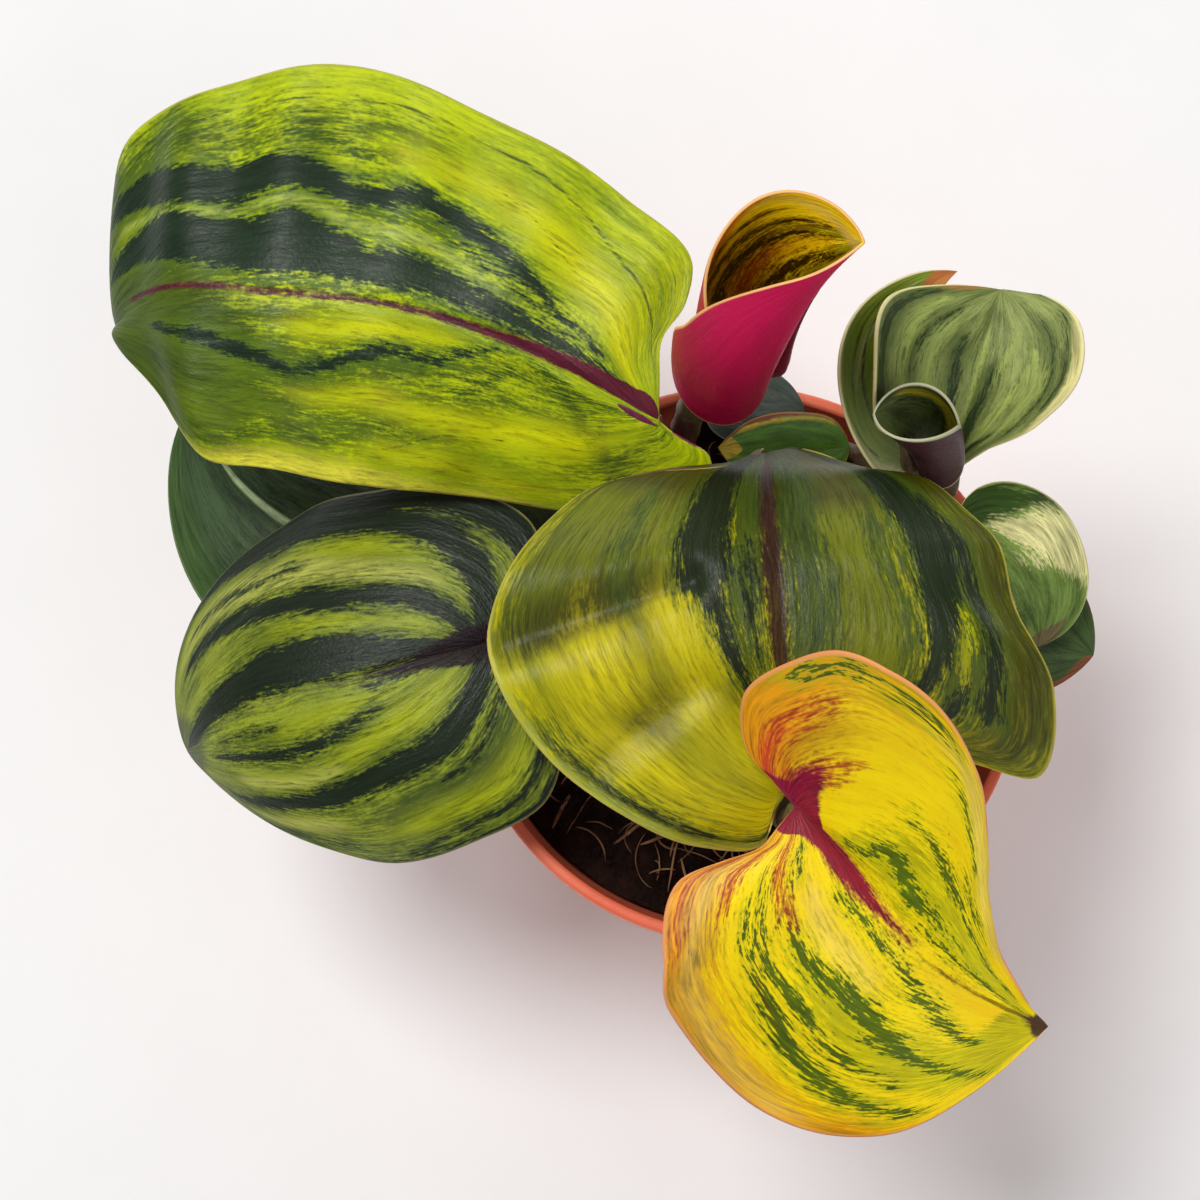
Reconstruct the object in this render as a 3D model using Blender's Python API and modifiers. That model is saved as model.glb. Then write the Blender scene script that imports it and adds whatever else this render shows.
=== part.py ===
# Potted geogenanthus: a nursery pot of soil with three shoots and thirteen leaves.
# Lengths are in millimetres and angles in degrees until an object is made.

import bmesh
import bpy
import numpy as np

MM = 0.001

# The pot
POT_HEIGHT = 105.0
RIM_RADIUS = 60.0
RIM_INNER_RADIUS = 57.4
RIM_EDGE = 0.6
RIM_DEPTH = 11.0
WALL_TOP_RADIUS = 57.0
WALL_FOOT_RADIUS = 43.6
WALL_THICKNESS = 1.2
FLOOR_THICKNESS = 1.6
FOOT_EDGE = 0.8
POT_STEPS = 56
SEAM_REACH = 0.1
DRAIN_COUNT = 6
DRAIN_RADIUS = 4.0
DRAIN_CIRCLE = 27.0
CUTTER_SIDES = 16
CUTTER_OVERHANG = 1.0

# The soil
FIT_GAP = 0.3
SOIL_GAP = 0.4
SOIL_TOP = 93.0
SOIL_RINGS = 7
SOIL_STEPS = 40
SOIL_LUMP = 0.8
SOIL_WAVE = 12.0
SOIL_CLOD = 4.0
SOIL_EDGE = 6.0
HOLE_FOOT = 58.0

# The shoots and leaves
STEM_RADIUS = 3.2
STEM_FOOT = 60.0
STEM_BEND_DEPTH = 2.0
STALK_RADIUS = 1.9
STALK_FOOT_RADIUS = 1.5
SEAT_GAP = 0.4
SEAT_LENGTH = 2.2
STEM_READS = 60
KEEL_RADIUS = 0.9
KEEL_SHARE = 0.16
KEEL_POINTS = 5
TUBE_POINTS = 9
TUBE_ROUNDING = 2
BLADE_THICKNESS = 0.8
VEIN_SPREAD = 1.4
RIPPLE_SPREAD = 0.7
CROSS_STEPS = 24
RIB_READS = 240
RIB_MARGIN = 12.0
WELD = 0.01
BLADE_WELD = 0.05

# Points that each stem passes through above the soil
STEMS = {
    "stem_back": [(-12, 36, 97), (-13, 43, 115), (-10, 49.5, 143)],
    "stem_front": [(6, -26, 97), (7, -32, 115), (7.5, -38, 150)],
    "stem_right": [(29, 22, 97), (32, 28, 110), (34.7, 33, 127)],
}

# Each blade is drawn flat first: left and right hold the margin's points from
# base to tip as distances along and beside the rib. The rib then takes the
# heading, pitch and roll found along it, and each half rises and curls from it.
# Its stalk leaves the stem at the joint's height, or goes on from the stem's end.
LEAVES = {
    "leaf_wide_upper": dict(
        base=(-18, 41, 153),
        length=129,
        left=[
            (-6, 1.5), (-12, 2), (-14, 5), (-11.5, 11), (-4, 22), (8, 29),
            (32, 36), (62, 38), (88, 35), (102, 33), (113, 18),
        ],
        right=[
            (4, 8), (7, 15), (6, 23), (8, 30), (27, 37),
            (52, 44.5), (72, 51.5), (97, 45.5), (121, 37),
        ],
        heading=[155, 151, 161, 172, 178, 181, 185],
        pitch=[8, 5, 2, -2, -8, -36, -80],
        roll=[0],
        rise_left=[-38, -16, 2],
        rise_right=[8, 2, 0],
        curl_left=[-20, -20, -40],
        curl_right=[-10, -20, -8],
        ripple=(1.2, 6),
        stem="stem_back",
        joint=116,
        stalk=[(-19.6, 44, 126), (-20.3, 43, 140), (-20, 42, 148)],
        grid=(18, 8),
        colour=(0.45, 0.50, 0.02),
    ),
    "leaf_wide_middle": dict(
        base=(8, -32, 155),
        length=98,
        left=[
            (-4, 4), (-11, 7), (-10, 20), (-1, 35), (14, 50),
            (33, 57), (50, 48), (59, 38), (64, 24), (68, 10),
        ],
        right=[
            (-4, 6), (-8, 12), (2, 30), (-3, 48), (14, 52),
            (31, 46), (48, 43), (64, 31), (74, 18), (82, 7),
        ],
        heading=[96, 94, 91, 90],
        pitch=[24, 12, -16, -62, -85],
        roll=[0],
        rise_left=[5, 6, 6],
        rise_right=[5, 3, 3],
        curl_left=[-10, -10, -10],
        curl_right=[-10, -15, -20],
        ripple=(1.2, 5),
        stem="stem_front",
        joint=118,
        stalk=[(7.2, -25, 130), (7.6, -28, 142), (8, -31.5, 151)],
        grid=(16, 8),
        colour=(0.35, 0.42, 0.03),
    ),
    "leaf_yellow": dict(
        base=(7.5, -37, 164),
        length=66,
        left=[
            (-6, 1.5), (-13, 3), (-20, 13), (-16, 27), (-8, 38),
            (6, 41), (16, 35), (26, 26), (41, 13), (56, 4),
        ],
        right=[
            (0, 5), (0, 10), (-4, 17), (-8, 25),
            (-1, 38.5), (20, 47), (36, 48), (51, 36), (59, 19),
        ],
        heading=[-40, -50, -43, -33, -26],
        pitch=[5, -5, -12, -18, -10],
        roll=[0],
        rise_left=[45, 35, 20, 5],
        rise_right=[5, 0, 0],
        curl_left=[10, 10, 0, 0],
        curl_right=[-20, -40, -30],
        ripple=(0.6, 5),
        stem="stem_front",
        joint=None,
        stalk=[(7.5, -38.8, 157)],
        grid=(16, 8),
        colour=(0.85, 0.55, 0.02),
    ),
    "leaf_striped": dict(
        base=(-52, 0, 134),
        length=82,
        left=[(-12, 8), (-8, 24), (-1, 35), (14, 40), (34, 43), (54, 34), (69, 21)],
        right=[(-14, 8), (-16, 20), (-8, 31), (16, 41), (37, 45.5), (57, 38.5), (73, 19)],
        heading=[199, 195, 193, 198, 210],
        pitch=[5, -5, -20, -45, -75],
        roll=[0],
        rise_left=[5, 0, 0],
        rise_right=[5, 0, 0],
        curl_left=[-40, -60, -60],
        curl_right=[-35, -50, -60],
        ripple=(0, 0),
        stem="stem_front",
        joint=101,
        stalk=[(-7, -22, 108), (-26, -10, 122), (-44, -1.5, 132)],
        grid=(14, 7),
        colour=(0.14, 0.24, 0.06),
    ),
    "leaf_dark_left": dict(
        base=(-46, 14, 113),
        length=92,
        left=[(-6, 8), (2, 20), (22, 27), (50, 29.5), (74, 17)],
        right=[(-10, 8), (-6, 20), (18, 27), (50, 26), (74, 14)],
        heading=[170, 165, 152, 133, 122],
        pitch=[1, -4, -12, -18, -26],
        roll=[0],
        rise_left=[5, 0, 0],
        rise_right=[5, 0, 0],
        curl_left=[-20, -30, -30],
        curl_right=[-20, -30, -30],
        ripple=(0, 0),
        stem="stem_back",
        joint=99,
        stalk=[(-22, 29, 106), (-36, 18, 112)],
        grid=(12, 5),
        colour=(0.05, 0.10, 0.05),
    ),
    "leaf_rolled_red": dict(
        base=(4, 52.5, 149),
        length=68,
        left=[(0, 14), (8, 27), (20, 38), (39, 36), (54, 27), (63, 12)],
        right=[(0, 15), (8, 28), (14, 35), (21, 35), (32, 31), (45, 24), (56, 14), (63, 5)],
        heading=[40, 35, 28, 22],
        pitch=[88, 82, 73, 60],
        roll=[-35, -35, -30, -25],
        rise_left=[0],
        rise_right=[0, 0, 40],
        curl_left=[300, 235, 168],
        curl_right=[210, 190, 220],
        ripple=(0, 0),
        stem="stem_back",
        joint=None,
        stalk=[(-6, 50.5, 146.5), (-1, 52.3, 147.6)],
        grid=(14, 9),
        colour=(0.45, 0.02, 0.09),
    ),
    "leaf_cupped": dict(
        base=(43, 35, 131),
        length=41,
        left=[(6, 6), (14, 22.5), (25, 30), (37, 13)],
        right=[(8, 6), (18, 16.5), (28, 22), (37, 18), (41, 10)],
        heading=[91, 78, 73, 73],
        pitch=[48, 42, 25, 8, -5],
        roll=[0],
        rise_left=[0, 20, 10],
        rise_right=[30, 20, 20],
        curl_left=[60, 50, 20],
        curl_right=[30, 20, 10],
        ripple=(0, 0),
        stem="stem_right",
        joint=110,
        stalk=[(40.5, 32, 117), (42.5, 33, 125)],
        grid=(11, 6),
        colour=(0.16, 0.24, 0.09),
    ),
    "leaf_rolled_green": dict(
        base=(35, 35, 139),
        length=27,
        left=[(0, 8), (6, 16), (15, 18.5), (23, 10)],
        right=[(0, 8), (6, 16), (15, 18.5), (23, 10)],
        heading=[155, 154, 155],
        pitch=[80, 65, 35],
        roll=[20, 32, 32],
        rise_left=[0],
        rise_right=[0],
        curl_left=[240, 190, 140],
        curl_right=[240, 190, 140],
        ripple=(0, 0),
        stem="stem_right",
        joint=None,
        stalk=[(35.3, 34.7, 135)],
        grid=(10, 7),
        colour=(0.09, 0.05, 0.06),
    ),
    "leaf_cream": dict(
        base=(43, 24, 128),
        length=34,
        left=[(-1, 6), (5, 17), (13, 21), (23, 17), (31, 8)],
        right=[(-1, 6), (4, 14), (13, 16), (23, 12), (30, 6)],
        heading=[-30, -45, -60, -80],
        pitch=[0, -10, -30, -60],
        roll=[0],
        rise_left=[0],
        rise_right=[0],
        curl_left=[-30, -40, -30],
        curl_right=[-20],
        ripple=(0, 0),
        stem="stem_right",
        joint=100,
        stalk=[(38, 24.4, 108), (40.5, 24.4, 120)],
        grid=(10, 5),
        colour=(0.45, 0.48, 0.28),
    ),
    "leaf_dark_right": dict(
        base=(40, 13, 112),
        length=37,
        left=[(0, 7), (5, 15), (14, 19), (26, 15), (34, 7)],
        right=[(-4, 8), (2, 16), (14, 19), (26, 15), (34, 7)],
        heading=[-15, -18, -22, -25],
        pitch=[5, 0, -10, -20],
        roll=[0],
        rise_left=[0],
        rise_right=[0],
        curl_left=[-20, -30, -30],
        curl_right=[-20],
        ripple=(0, 0),
        stem="stem_right",
        joint=98.5,
        stalk=[(34.5, 16, 104), (37, 14, 110)],
        grid=(10, 5),
        colour=(0.05, 0.10, 0.05),
    ),
    "leaf_small_folded": dict(
        base=(23, 44, 115),
        length=28,
        left=[(2, 4), (12, 7), (21, 6)],
        right=[(2, 6), (12, 9), (21, 7)],
        heading=[188, 180, 172],
        pitch=[5, 0, -5],
        roll=[0],
        rise_left=[0],
        rise_right=[0],
        curl_left=[-20],
        curl_right=[-20],
        ripple=(0, 0),
        stem="stem_right",
        joint=102,
        stalk=[(28, 36, 108), (25.5, 42, 113)],
        grid=(8, 4),
        colour=(0.12, 0.22, 0.05),
    ),
    "leaf_small_dark": dict(
        base=(-8, 55, 110),
        length=22,
        left=[(2, 6), (10, 9), (17, 6)],
        right=[(2, 6), (10, 9), (17, 6)],
        heading=[0, -5, -10],
        pitch=[10, 5, 0],
        roll=[0],
        rise_left=[0],
        rise_right=[0],
        curl_left=[-20],
        curl_right=[-20],
        ripple=(0, 0),
        stem="stem_back",
        joint=101,
        stalk=[(-12.4, 47.5, 104), (-11, 54, 108)],
        grid=(8, 4),
        colour=(0.05, 0.10, 0.07),
    ),
    "leaf_cupped_back": dict(
        base=(37, 39, 126),
        length=51,
        left=[(4, 6), (14, 18), (28, 15), (42, 5)],
        right=[(2, 6), (15, 9), (31, 8), (44, 3)],
        heading=[145, 112, 65, 20],
        pitch=[50, 42, 22, -8],
        roll=[0],
        rise_left=[20],
        rise_right=[0],
        curl_left=[60],
        curl_right=[0],
        ripple=(0, 0),
        stem="stem_right",
        joint=112,
        stalk=[(34.8, 36.8, 117)],
        grid=(11, 5),
        colour=(0.14, 0.22, 0.05),
    ),
}

POT_COLOUR = (0.80, 0.17, 0.07)
SOIL_COLOUR = (0.02, 0.012, 0.008)
STEM_COLOUR = (0.12, 0.10, 0.04)
PLASTIC_ROUGHNESS = 0.5
SOIL_ROUGHNESS = 0.95
STEM_ROUGHNESS = 0.5
LEAF_ROUGHNESS = 0.4


def blend(values, at):
    """A smooth curve through evenly spaced values, read at shares from 0 to 1."""
    values = np.asarray(values, float)
    if len(values) == 1:
        return np.full(np.shape(at), values[0])
    last = len(values) - 1
    place = np.clip(at, 0, 1) * last
    first = np.minimum(place.astype(int), last - 1)
    g = place - first
    ends = [2 * values[0] - values[1]], [2 * values[-1] - values[-2]]
    padded = np.concatenate([ends[0], values, ends[1]])
    a, b, c, d = (padded[first + k] for k in range(4))
    return b + 0.5 * g * (c - a + g * (2 * a - 5 * b + 4 * c - d + g * (3 * (b - c) + d - a)))


def margin(points, length, u):
    """The margin from base to tip as (along, beside), spaced by its own length."""
    knots = np.array([(0, 0)] + points + [(length, 0)], float)
    span = np.linalg.norm(np.diff(knots, axis=0), axis=1)
    place = np.concatenate([[0], np.cumsum(span)]) / span.sum()
    slope = np.zeros_like(knots)
    step = np.diff(place)[:, None]
    rise = np.diff(knots, axis=0) / step
    slope[1:-1] = (rise[:-1] * step[1:] + rise[1:] * step[:-1]) / (step[:-1] + step[1:])
    slope[0] = 2 * rise[0] - slope[1]
    slope[-1] = 2 * rise[-1] - slope[-2]
    i = np.clip(np.searchsorted(place, u, side="right") - 1, 0, len(step) - 1)
    h = step[i]
    g = (u - place[i])[..., None] / h
    return (
        knots[i] * (1 + 2 * g) * (1 - g) ** 2
        + slope[i] * h * g * (1 - g) ** 2
        + knots[i + 1] * g * g * (3 - 2 * g)
        + slope[i + 1] * h * g * g * (g - 1)
    )


def rib_frame(leaf, along):
    """Where the rib is, and its left and up directions, at distances along it."""
    length = leaf["length"]
    behind = min(p[0] for p in leaf["left"] + leaf["right"]) - RIB_MARGIN
    at = np.linspace(behind, length, RIB_READS)
    turn, tilt, roll = (np.radians(blend(leaf[k], at / length)) for k in ("heading", "pitch", "roll"))
    ahead = np.stack([np.cos(tilt) * np.cos(turn), np.cos(tilt) * np.sin(turn), np.sin(tilt)], -1)
    level = np.stack([-np.sin(turn), np.cos(turn), 0 * turn], -1)
    left = np.cos(roll)[:, None] * level + np.sin(roll)[:, None] * np.cross(ahead, level)
    above = np.cross(ahead, left)
    path = np.cumsum((ahead[1:] + ahead[:-1]) / 2 * (at[1] - at[0]), 0)
    path = np.concatenate([np.zeros((1, 3)), path])

    def read(values):
        return np.stack([np.interp(along, at, values[:, k]) for k in range(3)], -1)

    start = np.array([np.interp(0, at, path[:, k]) for k in range(3)])
    return read(path - start + np.array(leaf["base"], float)), read(left), read(above)


def blade_points(leaf, u, v):
    """Points of the blade: u runs from base to tip along a vein, v from -1 (right) to 1 (left)."""
    length = leaf["length"]
    on_left = v >= 0
    across = np.abs(v)
    edge = np.where(
        on_left[..., None], margin(leaf["left"], length, u), margin(leaf["right"], length, u)
    )
    along = length * u + (edge[..., 0] - length * u) * across**VEIN_SPREAD
    beside = across * edge[..., 1]
    width = np.where(on_left, *(max(p[1] for p in leaf[k]) for k in ("left", "right")))
    share = along / length
    rise = np.where(on_left, blend(leaf["rise_left"], share), blend(leaf["rise_right"], share))
    curl = np.where(on_left, blend(leaf["curl_left"], share), blend(leaf["curl_right"], share))
    out = np.zeros_like(beside)
    lift = np.zeros_like(beside)
    for k in range(CROSS_STEPS):
        angle = np.radians(rise + curl * (k + 0.5) / CROSS_STEPS * beside / width)
        out += np.cos(angle) * beside / CROSS_STEPS
        lift += np.sin(angle) * beside / CROSS_STEPS
    height, waves = leaf["ripple"]
    wave = np.sin(2 * np.pi * waves * share)
    lift += height * wave * across**RIPPLE_SPREAD * np.sqrt(np.clip(share, 0, 1))
    point, left, above = rib_frame(leaf, along)
    side = np.where(on_left, 1.0, -1.0)
    return point + (side * out)[..., None] * left + lift[..., None] * above


def new_material(name, colour, roughness):
    material = bpy.data.materials.new(name)
    material.use_nodes = True
    shader = material.node_tree.nodes["Principled BSDF"]
    shader.inputs["Base Color"].default_value = (*colour, 1)
    shader.inputs["Roughness"].default_value = roughness
    return material


def add_object(name, data, collection):
    obj = bpy.data.objects.new(name, data)
    collection.objects.link(obj)
    return obj


def as_mesh(obj):
    """Applies the modifiers, or turns a curve into a mesh, and joins its seams."""
    graph = bpy.context.evaluated_depsgraph_get()
    mesh = bpy.data.meshes.new_from_object(obj.evaluated_get(graph))
    shape = bmesh.new()
    shape.from_mesh(mesh)
    bmesh.ops.remove_doubles(shape, verts=shape.verts, dist=WELD * MM)
    bmesh.ops.recalc_face_normals(shape, faces=shape.faces)
    shape.to_mesh(mesh)
    shape.free()
    made = add_object(obj.name, mesh, obj.users_collection[0])
    made.matrix_world = obj.matrix_world.copy()
    name = obj.name
    bpy.data.objects.remove(obj)
    made.name = name
    return made


def add_turned(name, profile, steps, collection):
    """A solid turned about the upright axis from a profile of (radius, height)."""
    mesh = bpy.data.meshes.new(name)
    points = [(radius * MM, 0, height * MM) for radius, height in profile]
    mesh.from_pydata(points, [(k, k + 1) for k in range(len(points) - 1)], [])
    obj = add_object(name, mesh, collection)
    screw = obj.modifiers.new("turn", "SCREW")
    screw.steps = steps
    screw.render_steps = steps
    screw.use_merge_vertices = True
    screw.merge_threshold = SEAM_REACH * MM
    return as_mesh(obj)


def add_tube(name, path, radii, collection):
    """A closed tube through the points of path, with its radius at each of them."""
    curve = bpy.data.curves.new(name, "CURVE")
    curve.dimensions = "3D"
    curve.bevel_depth = MM
    curve.bevel_resolution = TUBE_ROUNDING
    curve.use_fill_caps = True
    spline = curve.splines.new("POLY")
    spline.points.add(len(path) - 1)
    for point, place, radius in zip(spline.points, path, radii):
        point.co = (*(place * MM), 1)
        point.radius = radius
    return as_mesh(add_object(name, curve, collection))


def smooth_path(points, count):
    points = np.array(points, float)
    at = np.linspace(0, 1, count)
    return np.stack([blend(points[:, k], at) for k in range(3)], -1)


def cut(obj, cutters):
    """Cuts every object of a hidden collection out of obj."""
    modifier = obj.modifiers.new("cut", "BOOLEAN")
    modifier.operation = "DIFFERENCE"
    modifier.operand_type = "COLLECTION"
    modifier.collection = cutters
    modifier.solver = "EXACT"


def new_collection(name, hidden=False):
    made = bpy.data.collections.new(name)
    bpy.context.scene.collection.children.link(made)
    made.hide_render = hidden
    return made


def add_cutter(name, radius, foot, height, place, collection):
    """An upright round cutter."""
    shape = bmesh.new()
    bmesh.ops.create_cone(
        shape,
        cap_ends=True,
        segments=CUTTER_SIDES,
        radius1=radius * MM,
        radius2=radius * MM,
        depth=height * MM,
    )
    mesh = bpy.data.meshes.new(name)
    shape.to_mesh(mesh)
    shape.free()
    obj = add_object(name, mesh, collection)
    obj.location = (place[0] * MM, place[1] * MM, (foot + height / 2) * MM)
    obj.display_type = "WIRE"
    obj.hide_render = True
    return obj


def wall_radius(height):
    """The radius of the pot's outer wall below its rim."""
    share = height / (POT_HEIGHT - RIM_DEPTH)
    return WALL_FOOT_RADIUS + (WALL_TOP_RADIUS - WALL_FOOT_RADIUS) * share


def soil_height(x, y):
    """The uneven top of the soil: low waves with small lumps between them."""
    broad = np.sin(x / SOIL_WAVE + 1) * np.cos(y / SOIL_WAVE)
    lumps = np.sin((x + y / 2) / SOIL_CLOD) * np.sin((y - x / 2) / SOIL_CLOD + 2)
    return SOIL_TOP + SOIL_LUMP * (broad + lumps)


def build_pot(collection):
    step_height = POT_HEIGHT - RIM_DEPTH
    profile = [
        (0, FLOOR_THICKNESS),
        (wall_radius(FLOOR_THICKNESS) - WALL_THICKNESS, FLOOR_THICKNESS),
        (WALL_TOP_RADIUS - WALL_THICKNESS, step_height),
        (RIM_INNER_RADIUS, POT_HEIGHT - RIM_EDGE),
        (RIM_INNER_RADIUS + RIM_EDGE, POT_HEIGHT),
        (RIM_RADIUS - RIM_EDGE, POT_HEIGHT),
        (RIM_RADIUS, POT_HEIGHT - RIM_EDGE),
        (RIM_RADIUS - RIM_EDGE, step_height),
        (WALL_TOP_RADIUS, step_height - RIM_EDGE),
        (WALL_FOOT_RADIUS, FOOT_EDGE),
        (WALL_FOOT_RADIUS - FOOT_EDGE, 0),
        (0, 0),
    ]
    pot = add_turned("pot", profile, POT_STEPS, collection)
    drains = new_collection("pot_drains", hidden=True)
    for k in range(DRAIN_COUNT):
        angle = 2 * np.pi * k / DRAIN_COUNT
        place = (DRAIN_CIRCLE * np.cos(angle), DRAIN_CIRCLE * np.sin(angle))
        height = FLOOR_THICKNESS + 2 * CUTTER_OVERHANG
        add_cutter(f"drain_{k + 1}", DRAIN_RADIUS, -CUTTER_OVERHANG, height, place, drains)
    cut(pot, drains)
    pot.data.materials.append(new_material("pot", POT_COLOUR, PLASTIC_ROUGHNESS))
    return pot


def build_soil(collection):
    floor = FLOOR_THICKNESS + FIT_GAP
    inset = WALL_THICKNESS + SOIL_GAP
    top_radius = wall_radius(SOIL_TOP) - inset
    rings = [(top_radius * k / SOIL_RINGS, SOIL_TOP) for k in range(SOIL_RINGS + 1)]
    profile = rings + [(wall_radius(floor) - inset, floor), (0, floor)]
    soil = add_turned("soil", profile, SOIL_STEPS, collection)
    for vertex in soil.data.vertices:
        x, y, z = vertex.co / MM
        if z > SOIL_TOP / 2:
            edge = min(1, (top_radius - np.hypot(x, y)) / SOIL_EDGE)
            vertex.co.z = (SOIL_TOP + (soil_height(x, y) - SOIL_TOP) * edge) * MM
    holes = new_collection("soil_holes", hidden=True)
    for name, points in STEMS.items():
        add_cutter(f"hole_{name}", STEM_RADIUS + FIT_GAP, HOLE_FOOT, SOIL_TOP, points[0][:2], holes)
    cut(soil, holes)
    soil.data.materials.append(new_material("soil", SOIL_COLOUR, SOIL_ROUGHNESS))
    return soil


def build_stem(name, points, collection):
    """A stem that stands upright in its hole and leans above the soil."""
    x, y, collar = points[0]
    buried = [(x, y, STEM_FOOT), (x, y, (STEM_FOOT + collar) / 2), (x, y, collar - STEM_BEND_DEPTH)]
    path = np.concatenate([np.array(buried, float), smooth_path(points, TUBE_POINTS)])
    radii = np.full(len(path), STEM_RADIUS)
    stem = add_tube(name, path, radii, collection)
    stem.data.materials.append(new_material(name, STEM_COLOUR, STEM_ROUGHNESS))
    return stem


def stalk_seat(leaf):
    """The first two points of a stalk, a hair's breadth off its stem."""
    axis = smooth_path(STEMS[leaf["stem"]], STEM_READS)
    if leaf["joint"] is None:
        ahead = axis[-1] - axis[-2]
        ahead /= np.linalg.norm(ahead)
        return [axis[-1] + ahead * reach for reach in (SEAT_GAP, SEAT_LENGTH)]
    k = np.searchsorted(axis[:, 2], leaf["joint"])
    ahead = axis[k] - axis[k - 1]
    ahead /= np.linalg.norm(ahead)
    out = np.array(leaf["stalk"][0], float) - axis[k]
    out -= ahead * np.dot(out, ahead)
    out /= np.linalg.norm(out)
    edge = STEM_RADIUS + SEAT_GAP
    return [axis[k] + out * edge, axis[k] + out * (edge + SEAT_LENGTH)]


def build_leaf(name, leaf, collection):
    """A blade of even thickness, fused with its stalk and the keel under its rib."""
    rows, half = leaf["grid"]
    u, v = np.meshgrid(np.linspace(0, 1, rows + 1), np.linspace(-1, 1, 2 * half + 1), indexing="ij")
    points = blade_points(leaf, u, v).reshape(-1, 3) * MM
    wide = 2 * half + 1
    corners = np.arange(rows)[:, None] * wide + np.arange(2 * half)
    faces = np.stack([corners, corners + wide, corners + wide + 1, corners + 1], -1)
    mesh = bpy.data.meshes.new(name)
    mesh.from_pydata(points.tolist(), [], faces.reshape(-1, 4).tolist())
    shape = bmesh.new()
    shape.from_mesh(mesh)
    bmesh.ops.remove_doubles(shape, verts=shape.verts, dist=BLADE_WELD * MM)
    bmesh.ops.triangulate(shape, faces=shape.faces)
    shape.to_mesh(mesh)
    shape.free()
    blade = add_object(name, mesh, collection)
    solidify = blade.modifiers.new("thickness", "SOLIDIFY")
    solidify.thickness = BLADE_THICKNESS * MM
    solidify.offset = 0
    blade = as_mesh(blade)

    reach = np.linspace(0, KEEL_SHARE * leaf["length"], KEEL_POINTS)
    rib, _, above = rib_frame(leaf, reach)
    keel = rib - above * BLADE_THICKNESS
    seat, out = stalk_seat(leaf)
    stalk = smooth_path([out] + leaf["stalk"] + [keel[0]], TUBE_POINTS)
    path = np.concatenate([[seat], stalk, keel[1:]])
    at = np.linspace(0, 1, len(path))
    radii = blend([STALK_FOOT_RADIUS, STALK_RADIUS, STALK_RADIUS, KEEL_RADIUS], at)
    stalks = new_collection(f"{name}_stalk", hidden=True)
    add_tube(f"{name}_stalk", path, radii, stalks)
    union = blade.modifiers.new("stalk", "BOOLEAN")
    union.operation = "UNION"
    union.operand_type = "COLLECTION"
    union.collection = stalks
    union.solver = "EXACT"
    leaf_object = as_mesh(blade)
    for obj in list(stalks.objects):
        bpy.data.objects.remove(obj)
    bpy.data.collections.remove(stalks)
    leaf_object.data.materials.append(new_material(name, leaf["colour"], LEAF_ROUGHNESS))
    leaf_object.data.shade_smooth()
    return leaf_object


def build():
    for obj in list(bpy.data.objects):
        bpy.data.objects.remove(obj)
    plant = new_collection("potted_geogenanthus")
    build_pot(plant).data.shade_smooth()
    build_soil(plant)
    for name, points in STEMS.items():
        build_stem(name, points, plant).data.shade_smooth()
    for name, leaf in LEAVES.items():
        build_leaf(name, leaf, plant)


build()
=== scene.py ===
import math

import bmesh
import bpy
import numpy as np
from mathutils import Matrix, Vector, noise


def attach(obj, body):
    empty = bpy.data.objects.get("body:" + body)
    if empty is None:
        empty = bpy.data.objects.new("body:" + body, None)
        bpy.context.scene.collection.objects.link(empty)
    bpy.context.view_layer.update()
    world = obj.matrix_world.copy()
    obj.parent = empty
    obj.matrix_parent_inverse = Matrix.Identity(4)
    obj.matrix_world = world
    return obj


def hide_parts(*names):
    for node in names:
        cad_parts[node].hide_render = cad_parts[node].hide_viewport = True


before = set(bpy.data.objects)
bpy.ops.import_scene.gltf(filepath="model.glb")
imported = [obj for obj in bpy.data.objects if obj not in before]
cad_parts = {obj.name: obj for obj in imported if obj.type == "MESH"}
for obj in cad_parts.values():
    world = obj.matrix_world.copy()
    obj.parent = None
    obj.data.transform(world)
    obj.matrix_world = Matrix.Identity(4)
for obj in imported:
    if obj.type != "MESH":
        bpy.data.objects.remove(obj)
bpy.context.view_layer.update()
print("frame loaded:", len(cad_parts), "nodes")

mm = 0.001


def paint(*rgb):
    # a colour given in screen values (0 to 255), made linear
    return tuple(((c / 255 + 0.055) / 1.055) ** 2.4 if c > 10 else c / 255 / 12.92 for c in rgb) + (1.0,)


class Wire:
    # a socket that can be used in sums; each sum adds its Math node
    def __init__(self, sheet, socket):
        self.sheet = sheet
        self.socket = socket

    def math(self, operation, *others, clamp=False):
        values = {k: v for k, v in enumerate((self, *others))}
        return self.sheet.node("ShaderNodeMath", dict(operation=operation, use_clamp=clamp), values)

    def __add__(self, other):
        return self.math("ADD", other)

    def __radd__(self, other):
        return self.math("ADD", other)

    def __sub__(self, other):
        return self.math("SUBTRACT", other)

    def __mul__(self, other):
        return self.math("MULTIPLY", other)

    def __truediv__(self, other):
        return self.math("DIVIDE", other)

    def abs(self):
        return self.math("ABSOLUTE")

    def clamp(self):
        return self.math("ADD", 0.0, clamp=True)

    def sine(self):
        return self.math("SINE")


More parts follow.
